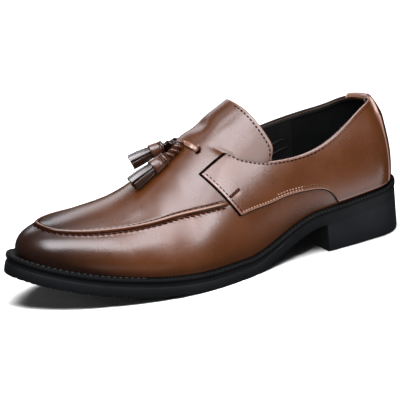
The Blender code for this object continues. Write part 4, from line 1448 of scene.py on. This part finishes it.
def face_line(distance, inset, points, normals, lines):
    """Line on an overlay's face at an inset from an edge, crossing the picked rows or columns."""
    found = []
    for line in lines:
        order = np.argsort(distance[line])
        run = distance[line][order]
        found.append([follow(inset, run, values[line][order]) for values in (points, normals)])
    line, ups = np.swapaxes(np.array(found), 0, 1)
    return line, unit(ups)


def make_quarter(side):
    """One quarter with its tab, and the lines of its sewing."""
    k = eased(190, False, 190.0)[None]
    q = eased(56, True, 60.0)[:, None]
    s, share = quarter_frame(side, k, q)
    base = upper_point(side, s, share)
    up = run_over(base, 0)
    down = up[-1] - up
    back = run_over(base, 1)
    lift = 1.0
    for run in (up, down, back):
        lift = lift * (WALL_SHARE + (1 - WALL_SHARE) * rounded(run, OVERLAY_ROUND))
    along = feather(side, s)[1]
    lift = OVERLAY_LIFT + OVERLAY * lift + forms(side, along, share) * FORM_ON_QUARTER
    outer = upper_offset(side, s, share, lift)
    inner = upper_offset(side, s, share, -0.1)
    on_tab = smooth_step(along[-1], TAB_SHOULDER[0] - 1.0, TAB_SHOULDER[0] + 1.0)[:, None]
    # Flare the dark painted rim out past the edge, as painted shadow under it
    for here, beside, reach in ((0, 1, EDGE_FLARE), (-1, -2, TAB_FLARE * on_tab)):
        inner[here] += reach * unit(base[here] - base[beside])
    inner[:, 0] += EDGE_FLARE * unit(base[:, 0] - base[:, 1])
    edge = most(-up, -down, -back)
    # Painted highlight in from the quarter's edges and beside the sewn bar
    shine, glint = BAR_HIGHLIGHT
    pale = most(bell(np.minimum(up, back), *EDGE_HIGHLIGHT), bell(along, *shine) * bell(share, *glint))
    dark = most(
        bell(edge, *EDGE_DARK),
        bell(share, *WELT_DARK),
        # painted shade in the grooves of the top and front stitch rows
        bell(down, *TOP_ROW_SHADE),
        bell(back, *FRONT_ROW_SHADE),
        HEEL_DARK * (1 - smooth_step(along, *HEEL_FADE)),
    )
    patch = (outer, inner, {"dark": dark, "pale": pale})
    piece = shell("sewn_quarter_" + side, [patch], [BROWN, BROWN, EDGE_PAINT_AND_SHADE], rim_material=2)
    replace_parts(piece, "quarter_" + side)
    normal = upper_normal(side, s, share)
    along_low = feather(side, s[0])[1]
    along_top = feather(side, s[-1])[1]

    def columns(run, first, last, skip=0):
        start, end = (int(np.argmax(run < along)) for along in (first, last))
        return [(slice(None), j) for j in range(start + skip, end)]

    seam = (along_low, QUARTER[-1][0] - 2.0, QUARTER[0][0] + 1.5)
    top = (along_top, TAB_SHOULDER[0] + 1.0, 8.0)
    rows = {
        "seam": (up, SEAM_ROW, columns(*seam)),
        "second": (up, SECOND_ROW, columns(*seam, skip=40)),
        "top": (down, TOP_ROW, columns(*top)),
        "front": (back, FRONT_ROW, list(range(8, len(q) - 8))),
    }
    return {
        name: face_line(distance, inset, outer, normal, lines)
        for name, (distance, inset, lines) in rows.items()
    }


def make_back_strip():
    """Strip over the back seam and the collar's edge, and the lines of its sewing."""
    rows = eased(46, False, 70.0)
    count = len(rows)
    wrap = np.array(STRIP_WRAP)[..., None]
    half = np.concatenate([lookup(BACK_STRIP, rows), np.full(len(wrap), BACK_STRIP[-1][1])])[:, None]
    across = eased(20, False, 22.0)[None]
    rise = lookup(STRIP_RISE, rows)[:, None]
    face = OVERLAY_LIFT + OVERLAY + rise
    rise = np.concatenate([rise, 0 * wrap[:, 1] + WRAP_RISE])
    patches = []
    lines = {}
    for side in SIDES:
        s = 1 - (1 - across) * half * STRIP_WIDE[side] / FEATHER_RUN[side]
        top = topline_share(side, s)
        share = STRIP_FOOT + (top[:count] - STRIP_FOOT) * rows[:, None]
        over = top[count:] + wrap[:, 0] * share_per_mm(side, s[count:], top[count:])
        share = np.concatenate([share, over])
        base = upper_point(side, s, share)
        up = run_over(base, 0)
        edge = run_over(base, 1)
        lift = np.concatenate([face, wrap[:, 1]]) - rise * (1 - rounded(edge, 1.0) * rounded(up, 1.0))
        under = np.concatenate([0 * face + STRIP_UNDER, wrap[:, 2]]) + 0 * edge
        # Painted highlight on the strip's top over the collar and along its edges
        top_highlight = np.concatenate([0 * face, 0 * wrap[:, 0] + WRAP_HIGHLIGHT]) + 0 * edge
        # Painted shade on the strip's sides, towards the top
        shade = smooth_step(edge, *STRIP_SHADE[0]) * (1 - smooth_step(edge, *STRIP_SHADE[1]))
        upward = STRIP_SHADE_STRENGTH * smooth_step(rows, *STRIP_SHADE_UP)[:, None]
        shade = shade * np.concatenate([upward, 0 * wrap[:, 0]])
        tints = {"pale": np.maximum(bell(edge, *STRIP_EDGE_HIGHLIGHT), top_highlight), "dark": shade}
        outer, normal = on_upper(side, s, share, lift)
        patches.append((outer, upper_offset(side, s, share, under), tints))
        lines[side] = tuple(values[4:count, STRIP_SEWING].copy() for values in (outer, normal))
    for layer in (0, 1):
        share_line([patch[layer] for patch in patches], (slice(None), -1))
    piece = shell("sewn_back_strip", patches, [BROWN])
    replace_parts(piece, "back_strip")
    return lines


def make_collar_roll():
    """Rolled edge of the collar, leather outside and lining inside."""
    lift, height = np.array(ROLL_PROFILE).T
    halves = []
    for side in SIDES:
        s = np.linspace(place_at(side, ROLL_FRONT), 1, 170)
        top = topline_share(side, s)
        share = top[:, None] + share_per_mm(side, s, top)[:, None] * height
        halves.append(upper_offset(side, s[:, None], share, lift))
    share_line(halves, -1)
    rings = np.concatenate([halves[0], halves[1][::-1][1:]])
    # Painted highlight on the roll's outer face
    pale = np.tile(np.where(lift > ROLL_HIGHLIGHT_FROM, *ROLL_HIGHLIGHT), len(rings))
    lined = (lift < ROLL_LINED).astype(int)
    lined[-2:] = 0
    indices = np.concatenate([np.tile(lined, len(rings) - 1), (0, 0)])
    tints = {"pale": pale, "dark": 0 * pale}
    add_mesh("collar_roll", *tube(rings), [BROWN, LINING], "brown_leather", 50.0, indices, tints)


# Sewing


def make_seam_shadow_and_whips():
    """Painted shadow as a dark band in the groove under the apron's bead; slanted whip stitches below it
    and short ones above.
    """
    patches = []
    whips = []
    for side in SIDES:
        along, s = front_columns(side)
        girth = girth_share(side, s)
        per_mm = share_per_mm(side, s, girth)
        run = run_length(upper_point(side, s, girth))
        last = float(np.interp(-(SEAM_START + 3.0), -along, run))

        def by_seam(where, up, lift):
            share = np.interp(where, run, girth) + up * np.interp(where, run, per_mm)
            return on_upper(side, np.interp(where, run, s), share, lift)

        fine = np.arange(0.0, last, GATHER_PITCH / 10)
        # The painted shadow band in the seam's groove
        ups = [SEAM_SHADOW[0] + SEAM_SHADOW[1] * k for k in SEAM_SHADOW_ROWS]
        lifts = [seam_lift(up, fine, np.interp(fine, run, along)) for up in ups]
        faces = []
        for more in SEAM_SHADOW_FACES:
            faces.append(np.stack([by_seam(fine, up, lift + more)[0] for up, lift in zip(ups, lifts)]))
        patches.append((*faces, {}))
        at = np.arange(GATHER_PITCH / 2, last, GATHER_PITCH)
        for first, then, reach, width in WHIPS:
            starts, normals = by_seam(at - reach, first, WHIP_LIFT)
            ends, _ = by_seam(at + reach, then, WHIP_LIFT)
            whips.append(threads(starts, ends, normals, width, WHIP_HEIGHT))
    shell("gathered_seam", patches, [WHIP_THREAD_AND_SEAM_SHADOW])
    add_mesh("whip_stitching", *join(whips), [WHIP_THREAD_AND_SEAM_SHADOW])


def tongue_line(side):
    """Line of sewing round the tongue's edge."""
    share = np.linspace(*TONGUE_SEWING, 80)
    s = place_at(side, tongue_place(TONGUE_SIDE + STITCH_IN + 0 * share, share))
    return on_upper(side, s, share, tongue_lift(STITCH_IN, share) + 0.05)


def split_line(line, along):
    """A line of points and normals, as two: before and after a place along the shoe."""
    turn = int(np.argmax(line[0][:, 0] < along))
    return tuple(part[:turn] for part in line), tuple(part[turn:] for part in line)


def make_stitching(quarter_lines, strip_lines):
    dark = []
    seat = []
    tan = []
    rear = []
    for side in SIDES:
        lines = quarter_lines[side]
        fore, aft = split_line(lines["top"], SEAT_SEWING)
        dark += [(fore, TOP_STITCH), (lines["front"], FRONT_STITCH), (tongue_line(side), TONGUE_STITCH)]
        seat += [(aft, SEAT_STITCH), (strip_lines[side], STRIP_STITCH)]
        for name, stitch in SEAM_STITCHES.items():
            fore, aft = split_line(lines[name], REAR_SEWING)
            tan.append((fore, stitch))
            rear.append((aft, stitch))
    sew("dark_stitching", dark, DARK_THREAD)
    sew("seat_stitching", seat, SEAT_THREAD)
    sew("tan_stitching", tan, TAN_THREAD)
    sew("rear_stitching", rear, REAR_THREAD)


def make_bartack():
    """Sewn bar on each tab: a slot edge with short stitches across it."""
    bars = []
    crossing = []
    for side in SIDES:
        along, share = np.linspace(*BAR_ENDS, BAR_POINTS).T
        points, normals = on_upper(side, place_at(side, along), share, OVERLAY_LIFT + OVERLAY + 0.05)
        bars.append(band(points, normals, *BAR_SIZE))
        way = unit(np.gradient(points, axis=0))
        pick = np.linspace(4, BAR_POINTS - 4, BAR_CROSSINGS).astype(int)
        slant = unit(np.cross(normals, way)[pick] + BAR_SLANT * way[pick]) * BAR_REACH
        ends = (points[pick] - slant, points[pick] + slant)
        crossing.append(threads(*ends, normals[pick], *BAR_STITCH))
    add_mesh("bartack_bars", *join(bars), [DARK_THREAD], smooth_angle=50.0)
    add_mesh("bartack_stitches", *join(crossing), [REAR_THREAD])


# Inside


def make_gores():
    """Ribbed elastic panels inside the collar, beside the tongue."""
    patches = []
    along = np.linspace(*GORE, 200)
    edge = np.minimum(along - along[0], along[-1] - along)
    rib = GORE_RIB * np.cos(2 * np.pi * along / GORE_PITCH)
    lift = -WALL - GORE_IN - (GORE_THICK + rib) * rounded(edge, 1.0)
    for side in SIDES:
        s = place_at(side, along)
        top = topline_share(side, s)
        top = top - GORE_BELOW * share_per_mm(side, s, top)
        share = top * np.linspace(GORE_FOOT, 1.0, 24)[:, None]
        patches.append((*(upper_offset(side, s, share, off) for off in (lift, 0.3 - WALL)), {}))
    shell("elastic_gores", patches, [ELASTIC], "black_lining")


def make_wrinkles():
    solids = []
    width = WRINKLE_SIZE[0] * np.sin(np.linspace(0.1, np.pi - 0.1, WRINKLE_POINTS))
    for side in SIDES:
        for first, last, high, low in WRINKLES:
            s = place_at(side, np.linspace(first, last, WRINKLE_POINTS))
            top = topline_share(side, s)
            share = top - np.linspace(high, low, WRINKLE_POINTS) * share_per_mm(side, s, top)
            points, normals = on_upper(side, s, share, -WALL - WRINKLE_IN)
            solids.append(band(points, -normals, width, WRINKLE_SIZE[1]))
    add_mesh("gore_wrinkles", *join(solids), [WRINKLED], "black_lining")


# Sole


def sole_stations(count, front=SOLE_LENGTH):
    """Places along, evenly spread round the sole's edge from a front to the back of the heel."""
    path = two_sides(SOLE_LOOP)["lateral"]
    share = run_length(path) / run_length(path)[-1]
    start = np.interp(-front, -path[:, 0], share)
    stations = np.interp(np.linspace(start, 1, count), share, path[:, 0])
    stations[0] = front
    return stations


def sole_ring(stations, inset, rise):
    """Both sides of the sole at an inset, at a rise that is a number or goes by along."""
    sides = two_sides(inset_loop(inset))
    first, last = sides["lateral"][[0, -1], 0]
    low = stations.min()
    high = stations.max()
    top = first if high == SOLE_LENGTH else high
    along = last + (stations - low) / (high - low) * (top - last)
    level = rise(along) if callable(rise) else rise + 0 * along
    ring = {}
    for side, path in sides.items():
        ring[side] = sole_point(along, np.interp(-along, -path[:, 0], path[:, 1]), level)
    return ring


def sole_block(name, stations, steps, reliefs, material, slot):
    """Closed block from steps of inset and rise, with relief on its bottom and its top."""
    rings = [sole_ring(stations, inset, rise) for inset, rise in steps]
    grids = [np.stack([ring[side] for ring in rings]) for side in SIDES]
    k = np.linspace(0, 1, SOLE_COLUMNS)[:, None, None]
    for ring, relief in zip((rings[0], rings[-1]), reliefs):
        face = ring["medial"][None] * (1 - k) + ring["lateral"][None] * k
        inner = np.minimum(k, 1 - k)[..., 0] * 2 + 0 * face[..., 0]
        if relief:
            face[..., 2] += np.where(inner > 0, relief(face[..., 0], face[..., 1], inner), 0.0)
        grids.append(face)
    front = np.stack([np.stack([ring["medial"][0], ring["lateral"][0]]) for ring in rings])
    fill = np.linspace(0, 1, SOLE_COLUMNS)[None, :, None]
    grids.append(front[:, :1] * (1 - fill) + front[:, 1:] * fill)
    points, first, faces = weld(grids, 0.002)
    return add_mesh(name, points[first], faces, [material], slot, 35.0)


def tread(off_edge, back, front):
    """Relief of ribs across the bottom, kept off its edge and between two places along."""

    def relief(along, out, inner):
        wave = cut_wave((along + TREAD_BOW * out ** 2) / TREAD_PITCH, TREAD_CUT)
        fade = smooth_step(along, *back) * (1 - smooth_step(along, *front))
        return TREAD_HEIGHT * wave * smooth_step(inner, *off_edge) * fade

    return relief


def teeth(base):
    """Rise with the cut ends of the tread, which show along the edge of the toe."""

    def rise(along):
        wave = cut_wave(along / TEETH_PITCH, TEETH_CUT)
        return base + TEETH_HEIGHT * wave * smooth_step(along, *TEETH_FADE)

    return rise


def off_floor(height):
    """Rise off the sole's bottom to a height off the floor."""
    return lambda along: height - sole_bottom(along)


def off_insole(height):
    """Rise off the sole's bottom to a height over the insole, whose top lies above the welt's."""
    return lambda along: stack_height(along) + INSOLE_ABOVE_WELT + height


def make_outsole():
    step = RIB_STEP * smooth_step(SOLE_LOOP[:, 0], *RIB_FADE)
    edge = EDGE_ROUND * smooth_step(SOLE_LOOP[:, 0], *ROUND_FADE)
    steps = (
        (edge, teeth(0.0)),
        (0.8 * edge, teeth(0.2 * EDGE_ROUND)),
        (0.6 * edge, teeth(EDGE_ROUND)),
        (0.4 * edge, LEAN_HEIGHT),
        (0.0, RIB_LOW - 0.3),
        (0.2 * step, RIB_LOW),
        (step, RIB_LOW + 0.25),
        (step, RIB_LOW + 0.8),
        (step, outsole_height),
    )
    reliefs = (tread(*FORE_TREAD), None)
    piece = sole_block("moulded_outsole", sole_stations(520), steps, reliefs, RUBBER, "black_rubber")
    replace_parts(piece, "outsole")


def make_heel():
    steps = [(inset, off_floor(height)) for inset, height in HEEL_STEPS] + [(0.0, 0.0)]
    stations = sole_stations(240, HEEL_BREAST)
    reliefs = (tread(*HEEL_TREAD), None)
    piece = sole_block("moulded_heel", stations, steps, reliefs, HEEL_RUBBER_LIGHTENED, "black_rubber")
    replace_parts(piece, "heel")


def make_welt():
    """Welt with a wheeled edge: notches across its top all the way round."""
    inner = UPPER_INSET + WALL
    run = run_length(np.concatenate([SOLE_LOOP, SOLE_LOOP[:1]]))
    notch = cut_wave(run[:-1] * round(run[-1] / NOTCH_PITCH) / run[-1], NOTCH_CUT)
    corners = [(RIB_STEP, 0.0)]
    corners += [(inset - WELT_LIP + more * notch, up - strand_shade * notch) for inset, more, up, strand_shade in WELT_EDGE]
    corners += [(UPPER_INSET - 0.9, WELT_THICKNESS - 0.35), (UPPER_INSET + 0.2, WELT_THICKNESS - 0.1)]
    corners += [(inner, WELT_THICKNESS), (inner, 0.0)]
    rows = []
    for inset, above in corners:
        along, out = inset_loop(inset).T
        rows.append(sole_point(along, out, outsole_height(along) + above))
    rings = np.stack(rows, 1)
    index = np.arange(len(rings) * len(rows)).reshape(len(rings), len(rows))
    after = np.roll(index, -1, 1)
    quads = np.stack([index, after, np.roll(after, -1, 0), np.roll(index, -1, 0)], -1)
    faces = quads.reshape(-1, 4).tolist()
    piece = add_mesh("wheeled_welt", rings.reshape(-1, 3), faces, [WELT_RUBBER], "welt_rubber", 50.0)
    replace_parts(piece, "welt")


def make_welt_stitches():
    rows = []
    for path in two_sides(inset_loop(WELT_SEWING_IN - WELT_LIP)).values():
        along, out = path[path[:, 0] > WELT_SEWING_BACK].T
        line, above = (sole_point(along, out, stack_height(along) + up) for up in (0.12, 5.0))
        rows.append(((line, unit(above - line)), WELT_STITCH))
    sew("welt_stitching", rows, WELT_THREAD, "welt_rubber")


def make_sock():
    """Sock over the insole, dished a little at its edge."""
    inset = UPPER_INSET + WALL + 0.1
    steps = ((inset, outsole_height), (inset, off_insole(0.6)), (inset + 0.8, off_insole(0.9)))

    def dish(along, out, inner):
        return -SOCK_DISH * smooth_step(inner, 0.0, 0.5)

    piece = sole_block("sock", sole_stations(150), steps, (None, dish), LINING, "black_lining")
    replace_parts(piece, "insole")


# Floor, light and the picture's tone


def make_floor():
    data = bpy.data.meshes.new("floor")
    size = FLOOR_SIZE
    corners = [(-size, -size, 0), (size, -size, 0), (size, size, 0), (-size, size, 0)]
    data.from_pydata(corners, [], [(0, 1, 2, 3)])
    material, tree, shader, place = new_material("floor_paper", 0.9, 0.1)
    paper = noise(tree, place, 3.0, 2.0)
    colour = mix(tree, paper, (0.80, 0.80, 0.802), (0.82, 0.82, 0.82))
    tree.links.new(colour, shader.inputs["Base Color"])
    data.materials.append(material)
    floor = bpy.data.objects.new("floor", data)
    link(floor)
    floor.visible_glossy = False
    floor.visible_diffuse = False


def lit_groups():
    """Collections that say which pieces a light reaches, or which it leaves out."""
    groups = {}
    for name, (state, starts) in LIT.items():
        groups[name] = bpy.data.collections.new("lit_" + name)
        for piece in bpy.context.scene.collection.objects:
            if piece.name.startswith(starts):
                groups[name].objects.link(piece)
        for linked in groups[name].collection_objects:
            linked.light_linking.link_state = state
    return groups


def make_lights():
    groups = lit_groups()
    for name, place, aim, width, height, roll, power, glossy, lit in LIGHTS:
        data = bpy.data.lights.new(name, "AREA")
        data.shape = "RECTANGLE"
        data.size = width
        data.size_y = height
        data.energy = power
        data.spread = np.radians(BEAMS.get(name, OPEN_BEAM))
        data.color = WHITE if lit == "floor" else LIGHT_COLOUR
        light = bpy.data.objects.new(name, data)
        light.visible_glossy = glossy
        light.visible_camera = False
        light.visible_diffuse = name not in GLOSS_ONLY
        light.light_linking.receiver_collection = groups[lit]
        back = unit(np.array(place) - np.array(aim))
        level, rise = axes_of(back, (0.0, 1.0, 0.0) if abs(back[2]) > 0.99 else UP)
        side = level * np.cos(np.radians(roll)) + rise * np.sin(np.radians(roll))
        set_place(light, (side, np.cross(back, side), back), place)
    world = bpy.data.worlds.new("studio")
    world.use_nodes = True
    background = world.node_tree.nodes["Background"]
    background.inputs["Color"].default_value = (*WHITE, 1.0)
    background.inputs["Strength"].default_value = WORLD_LIGHT
    bpy.context.scene.world = world
    bpy.context.scene.view_settings.view_transform = "Standard"


make_camera()
make_laces()
make_upper()
sewing_lines = {side: make_quarter(side) for side in SIDES}
back_lines = make_back_strip()
make_collar_roll()
make_seam_shadow_and_whips()
make_stitching(sewing_lines, back_lines)
make_bartack()
make_gores()
make_wrinkles()
make_outsole()
make_heel()
make_welt()
make_welt_stitches()
make_sock()
make_floor()
make_lights()
